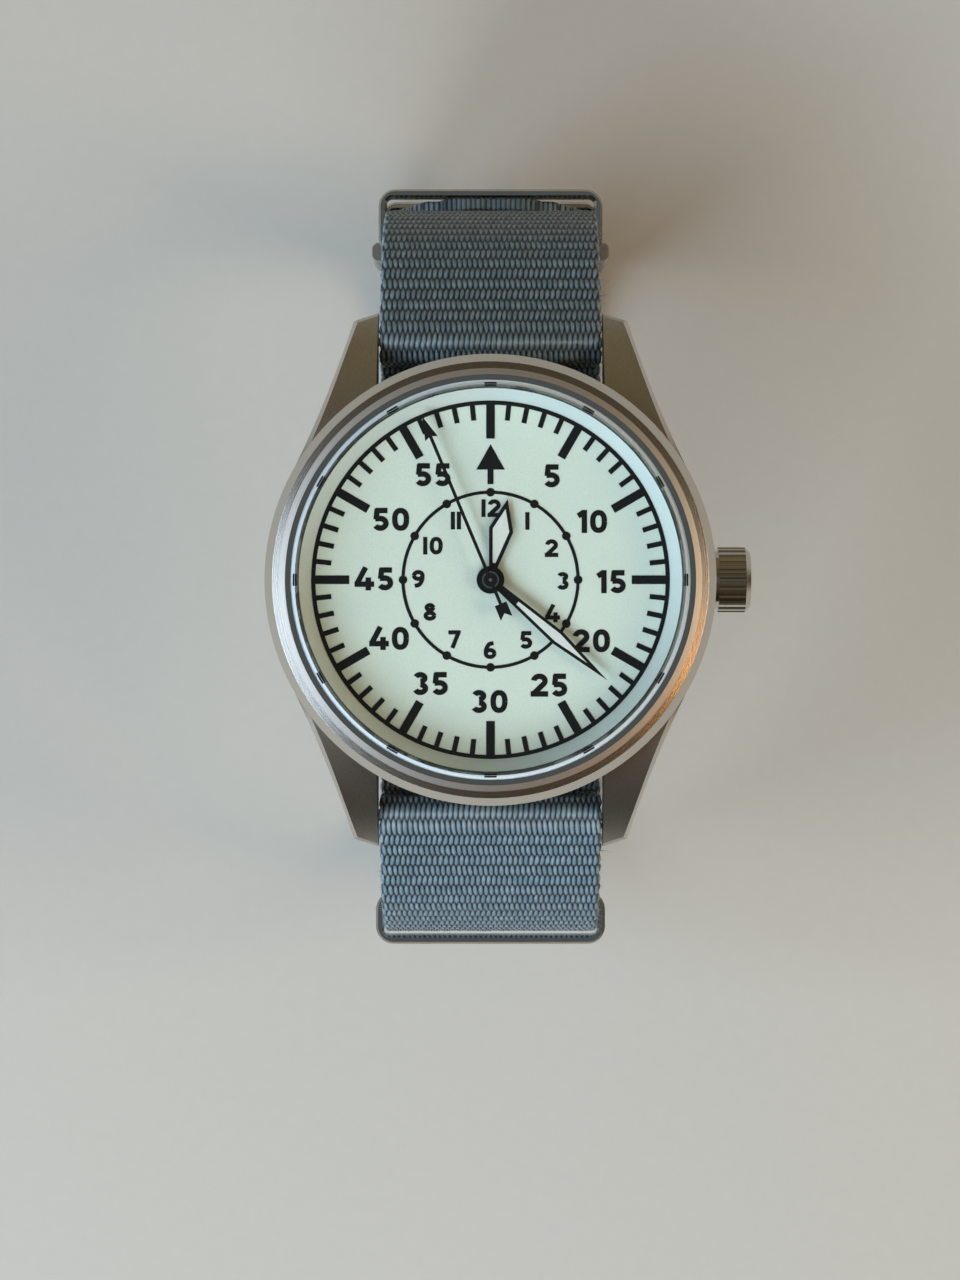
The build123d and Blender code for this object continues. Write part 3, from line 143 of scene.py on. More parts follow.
class Sock:
    """A socket of a graph's nodes. Sums and products of it add Math nodes."""

    def __init__(self, finish, socket):
        self.finish = finish
        self.socket = socket

    def math(self, operation, *values):
        return self.finish.node("ShaderNodeMath", {"operation": operation}, dict(enumerate(values)))

    def __add__(self, other):
        return self.math("ADD", self, other)

    def __sub__(self, other):
        return self.math("SUBTRACT", self, other)

    def __mul__(self, other):
        return self.math("MULTIPLY", self, other)

    def __truediv__(self, other):
        return self.math("DIVIDE", self, other)

    def __pow__(self, other):
        return self.math("POWER", self, other)

    def __radd__(self, other):
        return self.math("ADD", other, self)

    def __rsub__(self, other):
        return self.math("SUBTRACT", other, self)

    def __rmul__(self, other):
        return self.math("MULTIPLY", other, self)

    def __rtruediv__(self, other):
        return self.math("DIVIDE", other, self)

    def sine(self):
        return self.math("SINE", self)

    def size(self):
        return self.math("ABSOLUTE", self)

    def larger(self, other):
        return self.math("MAXIMUM", self, other)

    def to_and_fro(self, reach):
        """Rise from 0 to the reach and fall back, over and over."""
        return self.math("PINGPONG", self, reach)

    def clipped(self, low, high):
        """0 at low and below, 1 at high and above."""
        return self.finish.node("ShaderNodeMapRange", {"clamp": True},
                                {"Value": self, "From Min": low, "From Max": high})

    def beyond(self, limit, soft):
        """0 under the limit and 1 over it, with a soft step between."""
        return self.clipped(limit - soft, limit + soft)

    def beside(self, output):
        """Another output of the same node."""
        return Sock(self.finish, self.socket.node.outputs[output])


class Graph:
    """The nodes of a material or of the sky."""

    def __init__(self, block):
        block.use_nodes = True
        self.block = block
        self.tree = block.node_tree
        self.tree.nodes.clear()

    def node(self, kind, settings, inputs, output=0):
        """Add a node: its type, its settings, and a value or link for each socket named."""
        node = self.tree.nodes.new(kind)
        for key, value in settings.items():
            setattr(node, key, value)
        for key, value in inputs.items():
            if isinstance(value, Sock):
                self.tree.links.new(value.socket, node.inputs[key])
            else:
                node.inputs[key].default_value = value
        return Sock(self, node.outputs[output])

    def place(self, output="Object"):
        return self.node("ShaderNodeTexCoord", {}, {}, output)

    def scaled(self, vector, x, y, z):
        return self.node("ShaderNodeMapping", {}, {"Vector": vector, "Scale": (x, y, z)})

    def parts(self, vector):
        split = self.node("ShaderNodeSeparateXYZ", {}, {"Vector": vector})
        return split.beside("X"), split.beside("Y"), split.beside("Z")

    def joined(self, x, y, z):
        return self.node("ShaderNodeCombineXYZ", {}, {"X": x, "Y": y, "Z": z})

    def normal(self):
        return self.node("ShaderNodeNewGeometry", {}, {}, "Normal")

    def noise(self, vector, scale, detail=3.0, roughness=0.55):
        return self.node("ShaderNodeTexNoise", {}, {
            "Vector": vector, "Scale": scale, "Detail": detail, "Roughness": roughness}, "Fac")

    def mix(self, share, first, second):
        mixed = self.node("ShaderNodeMix", {"data_type": "RGBA"}, {"Factor": share}, 2)
        for index, value in ((6, first), (7, second)):
            socket = mixed.socket.node.inputs[index]
            if isinstance(value, Sock):
                self.tree.links.new(value.socket, socket)
            else:
                socket.default_value = opaque(value)
        return mixed

    def bump(self, height, distance, strength=1.0):
        return self.node("ShaderNodeBump", {}, {
            "Height": height, "Distance": distance, "Strength": strength})

    def surface(self, inputs):
        """End in one Principled shader and hand back the material."""
        colour = inputs.get("Base Color")
        if colour is not None and not isinstance(colour, Sock):
            inputs["Base Color"] = opaque(colour)
        return self.ended(self.node("ShaderNodeBsdfPrincipled", {}, inputs))

    def ended(self, shader, kind="ShaderNodeOutputMaterial"):
        end = self.tree.nodes.new(kind)
        self.tree.links.new(shader.socket, end.inputs["Surface"])
        return self.block


def new_finish(name):
    """The empty graph of a new material."""
    return Graph(bpy.data.materials.new(name))


# Meshes

def tube(rows, columns):
    """Corners of the quads between rings of points, which are numbered ring by ring."""
    row, column = np.meshgrid(np.arange(rows - 1), np.arange(columns), indexing="ij")
    next_row, next_column = row + 1, (column + 1) % columns
    corners = (row * columns + column, row * columns + next_column,
               next_row * columns + next_column, next_row * columns + column)
    return np.stack(corners, axis=-1).reshape(-1, 4)


def rod(steps, corners=4):
    """Corners of a closed rod's quads: the skin between its rings, and a fan over each end."""
    fan = np.array([[0, first, first + 1, first + 2] for first in range(1, corners - 2, 2)])
    return np.concatenate([tube(steps, corners), fan[:, ::-1], fan + (steps - 1) * corners])


def outward(points, faces):
    """The quads, turned round if the solid that they close would have a negative volume."""
    a, b, c, d = (points[faces[:, index]] for index in range(4))
    volume = np.einsum("ij,ij->", a, np.cross(b, c) + np.cross(c, d))
    return faces if volume > 0 else faces[:, ::-1]


def quad_mesh(name, points, faces, smooth=True, values=None):
    """A mesh from whole arrays, with an optional vector for each point.

    A face is a quad, or a triangle where it names one corner twice running.
    """
    mesh = bpy.data.meshes.new(name)
    mesh.vertices.add(len(points))
    mesh.vertices.foreach_set("co", np.ascontiguousarray(points, dtype=np.float32).ravel())
    corner = faces != np.roll(faces, 1, axis=1)
    sizes = corner.sum(axis=1)
    mesh.loops.add(int(sizes.sum()))
    mesh.loops.foreach_set("vertex_index", np.ascontiguousarray(faces[corner], dtype=np.int32))
    mesh.polygons.add(len(faces))
    mesh.polygons.foreach_set("loop_start", (np.cumsum(sizes) - sizes).astype(np.int32))
    mesh.polygons.foreach_set("use_smooth", np.full(len(faces), smooth))
    if values is not None:
        attribute = mesh.attributes.new("weave", "FLOAT_VECTOR", "POINT")
        attribute.data.foreach_set("vector", np.ascontiguousarray(values, dtype=np.float32).ravel())
    mesh.update(calc_edges=True)
    mesh.validate()
    return mesh


def piece(name, mesh, material, body):
    """Show a mesh as a piece that rides on a body."""
    thing = bpy.data.objects.new(name, mesh)
    bpy.context.scene.collection.objects.link(thing)
    mesh.materials.append(material)
    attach(thing, body)
    return thing


def many(points, faces):
    """Join copies of one shape: points of copy by point, faces of the one shape."""
    copies, count = points.shape[0], points.shape[1]
    shift = np.arange(copies)[:, None, None] * count
    return points.reshape(-1, 3), (faces[None] + shift).reshape(-1, 4)


def joined_shapes(shapes):
    """One set of points and faces out of several."""
    counts = np.cumsum([0] + [len(points) for points, _ in shapes])
    points = np.concatenate([points for points, _ in shapes])
    faces = np.concatenate([faces + shift for (_, faces), shift in zip(shapes, counts)])
    return points, faces


def dressed(nodes, material):
    """Give CAD nodes a material."""
    for name in nodes:
        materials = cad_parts[name].data.materials
        materials.clear()
        materials.append(material)


# Route of the strap. Y and Z of its middle line are the real and imaginary parts, in millimetres.

HALF_THICKNESS = 0.625
LONG_ROUTE = (
    (33.5, 19.5), (33.5, 17.25), (32.25, 14.625), (32.25, 10.675), (34.9, 10.675), (34.9, 36.0),
    (31.305, 44.592), (20.075, 53.06), (20.075, 47.225), (-20.075, 47.225), (-20.075, 53.232),
    (-29.807, 45.216), (-32.9, 38.496), (-32.9, 13.008), (-27.011, 3.216), (-15.989, 0.625),
    (15.007, 0.625), (30.188, 2.899), (36.3, 8.496), (36.3, 22.305), (36.8, 27.4),
)
LONG_RADII = (
    3.0, 3.0, 1.325, 1.325, 20.0, 16.0, 1.525, 1.4, 1.4, 1.525, 14.0, 18.0, 24.0, 10.0, 45.0, 60.0,
    12.0, 10.0, 25.0,
)
SHORT_ROUTE = (
    (33.5, 19.8), (33.5, 35.72), (30.101, 43.836), (19.998, 45.825), (-20.003, 45.825),
    (-28.911, 43.816), (-31.5, 38.188), (-31.5, 30.675), (-29.25, 30.675), (-29.25, 34.7),
)
SHORT_RADII = (18.6, 8.0, 20.0, 20.0, 5.0, 16.6, 1.125, 1.125)


class Route:
    """Straight runs joined by tangent arcs, read by the distance along them.

    Along a run the place goes on in the heading. Along an arc the heading turns evenly and the
    place is the start plus the difference of the two headings over i times the curvature.
    """

    def __init__(self, points, radii):
        corners = np.array([complex(*point) for point in points])
        steps = np.diff(corners)
        courses = steps / np.abs(steps)
        turns = np.angle(courses[1:] / courses[:-1])
        reach = np.concatenate([[0], np.array(radii) * np.tan(np.abs(turns) / 2), [0]])
        count = len(steps) + len(turns)
        self.lengths, self.curves, self.headings = np.zeros(count), np.zeros(count), np.zeros(count)
        self.lengths[0::2] = np.abs(steps) - reach[:-1] - reach[1:]
        self.lengths[1::2] = np.array(radii) * np.abs(turns)
        self.curves[1::2] = np.sign(turns) / np.array(radii)
        self.headings[0::2] = np.angle(courses)
        self.headings[1::2] = np.angle(courses[:-1])
        self.starts = np.concatenate([[0], np.cumsum(self.lengths)])
        travel = self.shift(np.arange(count), self.lengths)
        self.places = np.concatenate([[corners[0]], corners[0] + np.cumsum(travel)])

    def shift(self, index, distance):
        """Way from the start of a run or an arc to a distance along it."""
        course, curve = np.exp(1j * self.headings[index]), self.curves[index]
        bent = np.where(curve == 0, 1.0, curve)
        arc = (np.exp(1j * (self.headings[index] + bent * distance)) - course) / (1j * bent)
        return np.where(curve == 0, distance * course, arc)

    def length(self):
        return self.starts[-1]

    def near(self, place):
        """Distance along the route at which it passes closest to a place."""
        distance = np.linspace(0, self.length(), 20001)
        return distance[np.argmin(np.abs(self.at(distance)[0] - place))]

    def at(self, distance):
        """Place and course, as complex numbers, at each distance."""
        index = np.searchsorted(self.starts, distance, side="right") - 1
        index = np.clip(index, 0, len(self.lengths) - 1)
        local = distance - self.starts[index]
        course = np.exp(1j * (self.headings[index] + self.curves[index] * local))
        return self.places[index] + self.shift(index, local), course


LONG = Route(LONG_ROUTE, LONG_RADII)
SHORT = Route(SHORT_ROUTE, SHORT_RADII)

# Cuts in the long strap: middle along its route, half length and half width.

FOLD_NOTCH = (LONG.near(33.575 + 10.675j), 4.73, 1.3)
TONGUE_SLOT = (LONG.near(34.4 + 7.03j), 3.2, 1.25)
HOLE_PLACES = (8.5, 2.0, -4.5, -11.0)
HOLE_RADIUS = 1.0
HOLES = tuple((LONG.near(place + HALF_THICKNESS * 1j), HOLE_RADIUS, HOLE_RADIUS)
              for place in HOLE_PLACES)
CUTS = (FOLD_NOTCH, TONGUE_SLOT, *HOLES)

# Webbing. Lengths are in millimetres, and a rib's steps are shares of its width. The long strap
# is made in two pieces, which meet at the seam's share of its route. An end strip closes the end
# of a turned edge, from the corners of its five points.

HALF_WEAVE = 9.75
WEAVE_PROUD = 0.03
WEAVE_SEED = 7
EDGE_BULGE = 0.35
EDGE_DIP = 0.16
EDGE_POINTS = 3
END_STRIP = np.array([[0, 1, 3, 4], [1, 2, 3, 3]])
RIB_STEPS = np.array((0.0, 0.22, 0.5, 0.78))
RIB_POWER = 0.7
YARN_LEAN = 0.14
TAIL_RADIUS = 9.0
MELTED_END = 0.35
SEAM_SHARE = 0.52

# Third number of the weave attribute: the height that a yarn's grain has there at least.

WOVEN, MELTED, FIBRE, STITCH = -1.0, 0.0, 0.5, 0.6


def weave_of(points, least):
    """The weave attribute of a piece that isn't woven."""
    return np.tile((0.0, 0.0, least), (len(points), 1))


def on_strap(route, across, along, lift):
    """Points of the strap: across it, along its route and lifted off its middle line, in metres."""
    place, course = route.at(along)
    spot = place - 1j * course * lift
    return np.stack(np.broadcast_arrays(across, spot.real, spot.imag), axis=-1) * MM


def opposite(column, cells):
    """Number of the point below one of the upper face, in the ring round the webbing."""
    return 2 * cells + EDGE_POINTS + 1 - column


def cut_out(cuts, across, along, wide, far):
    """Mark the upper face's cells that lie in a cut, and draw their rim to the cut's outline.

    A cut is a straight run with round ends. A rim point moves along the line from the nearest
    point of the run's middle line until it is half the cut's width away from it.
    """
    middle = (across[1:] + across[:-1]) / 2
    opened = np.zeros((len(along) - 1, len(middle)), dtype=bool)
    for centre, half_length, half_width in cuts:
        run = half_length - half_width
        past_run = np.maximum(np.abs((along[1:] + along[:-1]) / 2 - centre) - run, 0)
        inside = middle[None] ** 2 + past_run[:, None] ** 2 < half_width ** 2
        touching = sum(np.pad(inside.astype(int), ((low, 1 - low), (left, 1 - left)))
                       for low in (0, 1) for left in (0, 1))
        row, column = np.nonzero((touching > 0) & (touching < 4))
        off, on = wide[row, column], far[row, column] - centre
        level = np.clip(on, -run, run)
        stretch = half_width / np.hypot(off, on - level)
        for side in (column, opposite(column, len(middle))):
            wide[row, side] = off * stretch
            far[row, side] = centre + level + (on - level) * stretch
        opened |= inside
    return opened


def cut_walls(opened, columns):
    """Quads that join the upper and the lower rim of each cut."""
    row, column = np.nonzero(opened)
    around, cells = np.pad(opened, 1), opened.shape[1]
    corners = ((0, 0), (0, 1), (1, 1), (1, 0))
    walls = []
    for index, (down, right) in enumerate(((-1, 0), (0, 1), (1, 0), (0, -1))):
        solid = ~around[row + 1 + down, column + 1 + right]
        (row_a, column_a), (row_b, column_b) = corners[index], corners[(index + 1) % 4]
        first, second = (row[solid] + row_a) * columns, (row[solid] + row_b) * columns
        left, other = column[solid] + column_a, column[solid] + column_b
        walls.append(np.stack([first + left, second + other, second + opposite(other, cells),
                               first + opposite(left, cells)], axis=-1))
    return np.concatenate(walls)


def ring_round(yarns):
    """The ring of points round the webbing, and the places across of those on its upper face.

    For each point of the ring it gives the place across, the side, which goes from 1 above to
    -1 below, and the number of its yarn.
    """
    yarn = np.arange(yarns * 2 + 1)
    flat = yarn * HALF_WEAVE / yarns - HALF_WEAVE
    edge = HALF_WEAVE + EDGE_BULGE * np.array((0.7, 1.0, 0.7))
    turn = np.array((0.6, 0, -0.6))
    across = np.concatenate([flat, edge, flat[::-1], -edge])
    side = np.concatenate([np.ones_like(flat), turn, -np.ones_like(flat), -turn])
    order = np.concatenate([yarn, np.full(EDGE_POINTS, yarn[-1]), yarn[::-1] + 1,
                            np.zeros(EDGE_POINTS)])
    return flat, across[None], side[None], order[None]


def webbing_faces(rows, columns, opened):
    """Quads of the webbing's skin, of the walls of its cuts and of its two ends."""
    cells = opened.shape[1]
    lower = cells + 1 + EDGE_POINTS
    kept = np.ones((rows - 1, columns), dtype=bool)
    kept[:, :cells] = ~opened
    kept[:, lower:lower + cells] = ~opened[:, ::-1]
    faces = [tube(rows, columns)[kept.ravel()], cut_walls(opened, columns)]
    across = np.arange(cells)
    below = opposite(across, cells)
    end = [np.stack([across, across + 1, below - 1, below], axis=-1)]
    for first in (cells, opposite(0, cells)):
        end.append((first + END_STRIP) % columns)
    end = np.concatenate(end)
    return np.concatenate([*faces, end[:, ::-1], end + (rows - 1) * columns])


def tail_width(along, stop, radius):
    """Share of the full width, which falls along two quarter circles at a rounded tail."""
    left = np.clip(stop - along, 0, radius)
    return (HALF_WEAVE - radius + np.sqrt(radius ** 2 - (radius - left) ** 2)) / HALF_WEAVE


def woven(route, start, stop, settings, tail_radius=0.0, cuts=()):
    """A stretch of webbing.

    Over each rib the height is the sine of the way across the rib, to the power 0.7. It is full
    on every second yarn and low between them, and the next rib swaps the two. The yarns lean one
    way on one rib and the other way on the next. The edges bulge where the weft turns round.
    """
    relief = settings.relief / MM
    ribs = int(round((stop - start) / (settings.rib_pitch / MM)))
    share = np.concatenate([(np.arange(ribs)[:, None] + RIB_STEPS).ravel(), [ribs]])
    rib, within = np.floor(share).astype(int)[:, None], (share % 1)[:, None]
    along = (start + share * (stop - start) / ribs)[:, None]
    flat, across, side, order = ring_round(settings.yarns)
    on_edge = np.abs(side) < 0.9
    draw = np.random.default_rng(WEAVE_SEED)
    uneven = draw.uniform(0.82, 1.12, (ribs + 1, across.size))[rib[:, 0]]
    crown = np.sin(np.pi * within) ** RIB_POWER
    grain = 0.5 + 0.5 * np.cos(np.pi * (order + rib))
    height = np.where(on_edge, crown, crown * (0.3 + 0.7 * grain) * uneven)
    lift = side * (HALF_THICKNESS + WEAVE_PROUD - relief + relief * height)
    lean = np.where(rib % 2 == 0, 1.0, -1.0) * YARN_LEAN * (within - 0.5) * (within > 0)
    sway = 0.05 * np.sin(along / 3.1 + across / 4.0) + 0.03 * np.sin(along / 1.7)
    dip = np.where(on_edge, (crown - 1) * EDGE_DIP * np.sign(across), 0)
    wide = across + lean + sway * (1 - on_edge) + dip
    far = along + 0 * across
    melted = WOVEN
    if tail_radius:
        wide = wide * tail_width(along, stop, tail_radius)
        melted = np.where(along > stop - MELTED_END, MELTED, WOVEN)
    opened = cut_out(cuts, flat, along[:, 0], wide, far)
    values = np.stack(np.broadcast_arrays(wide, far, melted), axis=-1).reshape(-1, 3)
    points = on_strap(route, wide, far, lift).reshape(-1, 3)
    points[:, 2] = np.maximum(points[:, 2], 0)
    used, faces = np.unique(webbing_faces(*wide.shape, opened), return_inverse=True)
    faces = faces.reshape(-1, 4)
    return points[used], outward(points[used], faces), values[used]


# A grain's half width as a share of a yarn's, and its half length as a share of a rib's.

GRAIN_HALF_WIDTH = 0.42
GRAIN_HALF_LENGTH = 0.54


def grain_height(to_yarn, to_rib):
    """One less the squares of the shares of a grain's half width and of its half length."""
    return 1.0 - (to_yarn / GRAIN_HALF_WIDTH) ** 2.0 - (to_rib / GRAIN_HALF_LENGTH) ** 2.0


def nylon(settings):
    """Filament yarn.

    Seen close, each yarn stands up once in every second rib as a long grain, and the yarns
    beside it stand up in the ribs between. A grain is an ellipse that leans a little. Its height
    feeds the colour, which falls to the valley colour between the grains as painted shade, and
    the bump, and fine noise along the yarn draws its filaments.
    """
    finish = new_finish("slate_nylon")
    weave = finish.node("ShaderNodeAttribute", {"attribute_name": "weave"}, {}, "Vector")
    across, along, least = finish.parts(weave)
    drift = finish.noise(finish.joined(across * 0.5, along * 0.6, 0.0), 1.0, 2.0)
    rib = along / (settings.rib_pitch / MM)
    to_rib = (rib - 0.5).to_and_fro(1.0)
    lean = rib.to_and_fro(1.0) * 0.22
    yarn = across * (settings.yarns / (2 * HALF_WEAVE)) + lean + drift * 0.5
    to_yarn = yarn.to_and_fro(0.5)
    beside = grain_height(0.5 - to_yarn, 1.0 - to_rib)
    grain = grain_height(to_yarn, to_rib).larger(beside).larger(least)
    filament = finish.noise(
        finish.joined(across * 18.0 + rib * 2.0, along * 1.8, 0.0), 1.0, 3.0, 0.6)
    patch = finish.noise(finish.joined(across * 0.9, along * 0.8, 0.0), 1.0, 3.0)
    light = finish.mix(filament.clipped(0.3, 0.72), toned(settings.light, 0.62), settings.light)
    # Paler patches at random: faded yarn and painted sheen.
    fading_and_sheen = finish.mix(patch.clipped(0.4, 0.8) * 0.45, light, settings.fading_and_sheen)
    # The colour falls to the valley colour where the grain is low: painted shade between the
    # grains.
    return finish.surface({
        "Base Color": finish.mix(grain.clipped(-0.2, 0.7), settings.painted_valley_shade, fading_and_sheen),
        "Roughness": 0.26 + filament * 0.2,
        "Specular IOR Level": 0.75,
        "Sheen Weight": 0.1,
        "Sheen Roughness": 0.4,
        "Normal": finish.bump(grain.clipped(-0.6, 1.0) + filament * 0.14, 0.2 * MM),
    })


# Loose fibres, in millimetres. Fraying starts and stops this far from the ends of a route.

FIBRE_STEPS, FIBRE_CORNERS = 6, 4
FIBRE_RADIUS = 0.035
LONGEST_FIBRE = 1.3
LOWEST_FIBRE = 0.01
FRAY_START, FRAY_STOP = 1.0, 6.0


def strands(starts, courses, sides, length, sway):
    """Thin tapering rods.

    Each middle line leaves its start along its course and drifts sideways with the square of the
    distance. The radius falls with the distance to a fifth.
    """
    share = np.linspace(0, 1, FIBRE_STEPS)[None, :, None]
    drift = sides[:, None] * sway[:, None, None] * share ** 2
    middle = starts[:, None] + (courses[:, None] * share + drift) * length[:, None, None]
    across = np.cross(courses, sides)
    angle = (np.arange(FIBRE_CORNERS) * 2 * np.pi / FIBRE_CORNERS)[None, :, None]
    ring = sides[:, None] * np.cos(angle) + across[:, None] * np.sin(angle)
    thin = FIBRE_RADIUS * (1 - 0.8 * share[..., None])
    points = (middle[:, :, None] + ring[:, None] * thin).reshape(len(starts), -1, 3)
    return many(points, outward(points[0], rod(FIBRE_STEPS, FIBRE_CORNERS)))


def frayed(route, start, stop, count, seed):
    """Loose ends along the two edges of a stretch of the strap, most of them on the crown side.

    None stands where the buckle, the keepers or the ring of the short strap would cut it.
    """
    draw = np.random.default_rng(seed)
    along = draw.uniform(start, stop, count)
    edge = np.where(draw.random(count) < 0.66, 1.0, -1.0)
    lift = draw.uniform(-0.45, 0.6, count)
    place, course = route.at(along)
    out = -1j * course
    forward = draw.normal(0, 0.75, count)
    upward = draw.normal(0.15, 0.55, count)
    spot = place + out * lift
    spread = course * forward + out * upward
    starts = np.stack([edge * (HALF_WEAVE + 0.12), spot.real, spot.imag], axis=-1)
    courses = np.stack([edge, spread.real, spread.imag], axis=-1)
    courses /= np.linalg.norm(courses, axis=1)[:, None]
    sides = np.cross(courses, draw.normal(size=(count, 3)))
    sides /= np.linalg.norm(sides, axis=1)[:, None]
    length = draw.gamma(2.2, 0.19, count) * np.where(edge > 0, 1.0, 0.7)
    length = np.minimum(length, LONGEST_FIBRE)
    sway = draw.uniform(0.1, 0.7, count)
    at_keepers = (spot.real > 30) & (spot.imag < 34)
    at_flap_ring = (spot.real < -27) & (np.abs(spot.imag - 32.5) < 2.2)
    free = ~(at_keepers | at_flap_ring)
    points, faces = strands(starts[free], courses[free], sides[free], length[free], sway[free])
    points[:, 2] = np.maximum(points[:, 2], LOWEST_FIBRE)
    return points * MM, faces, weave_of(points, FIBRE)


# Rows of stitches: the route, the place along it and the side of the strap that they stand on.

STITCH_ROWS = (
    (LONG, 0.8, 1.0), (LONG, 1.7, 1.0), (SHORT, 0.8, -1.0), (SHORT, 1.7, -1.0),
    (SHORT, SHORT.length() - 0.8, 1.0), (SHORT, SHORT.length() - 1.7, 1.0),
)
STITCHES_IN_ROW = 13
ROW_REACH = 8.6
STITCH_REACH = 0.5
STITCH_RISE = 0.1
THREAD_RADIUS = 0.09
THREAD_STEPS, THREAD_CORNERS = 6, 6


def sewn():
    """Stitches: each is a round thread that rises and falls by a parabola across the strap."""
    share = np.linspace(-1, 1, THREAD_STEPS)[None, :, None]
    turn = np.arange(THREAD_CORNERS) * 2 * np.pi / THREAD_CORNERS
    places = np.linspace(-ROW_REACH, ROW_REACH, STITCHES_IN_ROW)[:, None, None]
    rise = HALF_THICKNESS - STITCH_RISE + STITCH_RISE * (1 - share ** 2)
    across = places + STITCH_REACH * share + 0 * turn
    lift = rise + THREAD_RADIUS * np.sin(turn) + 0 * places
    shape = np.concatenate([
        on_strap(route, across, along + THREAD_RADIUS * np.cos(turn) + 0 * lift, sense * lift)
        for route, along, sense in STITCH_ROWS]).reshape(-1, THREAD_STEPS * THREAD_CORNERS, 3)
    faces = rod(THREAD_STEPS, THREAD_CORNERS)
    points, faces = joined_shapes([(copy, outward(copy, faces)) for copy in shape])
    return points, faces, weave_of(points, STITCH)


# Print of the dial. A glyph is a list of strokes in a box one unit high.

STROKE = 0.235
INSET = STROKE / 2


def arc(x, y, wide, high, first, last, power=1.0):
    """Points of an arc. With a power under 1 the ellipse fills out towards its box."""
    angle = np.radians(np.linspace(first, last, 25))
    cosine, sine = np.cos(angle), np.sin(angle)
    return x + wide * np.sign(cosine) * np.abs(cosine) ** power + 1j * (
        y + high * np.sign(sine) * np.abs(sine) ** power)


def line(*corners):
    return np.array([complex(*corner) for corner in corners])


SIX = (arc(0.33, 0.31, 0.33 - INSET, 0.31 - INSET, 0, 360), np.concatenate(
    [arc(0.49, 0.36, 0.49 - INSET, 0.56, 180, 118), line((0.5, 1 - INSET * 0.9))]))
GLYPHS = {
    "0": (0.68, (arc(0.34, 0.5, 0.34 - INSET, 0.5 - INSET, 0, 360, 0.85),)),
    "1": (0.2, (line((0.1, 0), (0.1, 1)),)),
    "flag": (0.36, (line((0.26, 0), (0.26, 1)), line((0.02, 0.74), (0.24, 0.9)))),
    "2": (0.66, (np.concatenate([arc(0.33, 0.68, 0.33 - INSET, 0.32 - INSET, 175, -32),
                                 line((0.1, 0.12))]),
                 line((0, INSET), (0.66, INSET)))),
    "3": (0.62, (arc(0.3, 0.74, 0.29 - INSET, 0.26 - INSET, 160, -90),
                 arc(0.3, 0.285, 0.31 - INSET, 0.285 - INSET, 90, -160))),
    "4": (0.74, (line((0.42, 1), (0.08, 0.26)), line((0.0, 0.27), (0.74, 0.27)),
                 line((0.52, 0.56), (0.52, 0)))),
    "5": (0.64, (line((0.12, 1 - INSET), (0.58, 1 - INSET)), line((0.19, 0.95), (0.15, 0.5)),
                 np.concatenate([line((0.12, 0.52)),
                                 arc(0.31, 0.325, 0.33 - INSET, 0.325 - INSET, 100, -150)]))),
    "6": (0.66, SIX),
    "7": (0.62, (line((0, 1 - INSET), (0.6, 1 - INSET)), line((0.53, 0.97), (0.2, 0)))),
    "8": (0.66, (arc(0.33, 0.75, 0.28 - INSET, 0.25 - INSET, 0, 360),
                 arc(0.33, 0.285, 0.33 - INSET, 0.285 - INSET, 0, 360))),
    "9": (0.66, tuple(0.66 + 1j - stroke for stroke in SIX)),
}
GLYPH_GAP = 0.1
STRETCH = 1.14

# Numerals and the places of their middles on the dial, in millimetres.

MINUTE_SIGNS = {
    ("5",): (5.46, 9.27), ("flag", "0"): (9.1, 5.2), ("flag", "5"): (10.8, -0.17),
    ("2", "0"): (9.0, -5.44), ("2", "5"): (5.23, -9.4), ("3", "0"): (-0.09, -10.86),
    ("3", "5"): (-5.37, -9.26), ("4", "0"): (-9.03, -5.23), ("4", "5"): (-10.39, 0.08),
    ("5", "0"): (-8.89, 5.39), ("5", "5"): (-5.15, 9.37),
}
HOUR_SIGNS = {
    ("1", "2"): (0.06, 6.39), ("1",): (3.29, 5.25), ("2",): (5.44, 2.82), ("3",): (6.45, -0.1),
    ("4",): (5.53, -3.0), ("5",): (3.16, -5.37), ("6",): (-0.04, -6.28), ("7",): (-3.2, -5.3),
    ("8",): (-5.41, -2.87), ("9",): (-6.45, 0.08), ("1", "0"): (-5.12, 3.04),
    ("1", "1"): (-3.09, 5.28),
}

# Underside and top of the print. A later stroke of a glyph stands a little above an earlier one.

PRINT_LOW, PRINT_HIGH = 55.5, 55.53
STROKE_STEP = 0.004

# Dashes on the crystal's edge: half their angle, and their corners as radius and height.

DASH_ANGLE = 0.031
DASH_CORNERS = np.array(((17.27, 59.175), (17.43, 59.015), (17.44, 59.035), (17.28, 59.195)))


def ribbon(path, half, low, high):
    """A flat strip along a path: the path shifted half its width to each side along its normal."""
    tangent = np.gradient(path)
    normal = 1j * tangent / np.abs(tangent)
    left, right = path + half * normal, path - half * normal
    ring = np.stack([left, right, right, left], axis=1)
    level = np.broadcast_to((low, low, high, high), ring.shape)
    points = np.stack([ring.real, ring.imag, level], axis=-1).reshape(-1, 3)
    return points, outward(points, rod(len(path)))


def printed(signs, height):
    """Numerals laid out round the dial, upright, each centred on its place."""
    shapes = []
    for glyphs, centre in signs.items():
        widths = [GLYPHS[glyph][0] for glyph in glyphs]
        start = -(sum(widths) + GLYPH_GAP * (len(widths) - 1)) / 2
        for glyph, width in zip(glyphs, widths):
            for layer, stroke in enumerate(GLYPHS[glyph][1]):
                path = (stroke.real + start) * STRETCH + 1j * (stroke.imag - 0.5)
                path = complex(*centre) + height * path
                top = PRINT_HIGH + STROKE_STEP * layer
                shapes.append(ribbon(path, height * INSET, PRINT_LOW, top))
            start += width + GLYPH_GAP
    points, faces = joined_shapes(shapes)
    return points * MM, faces


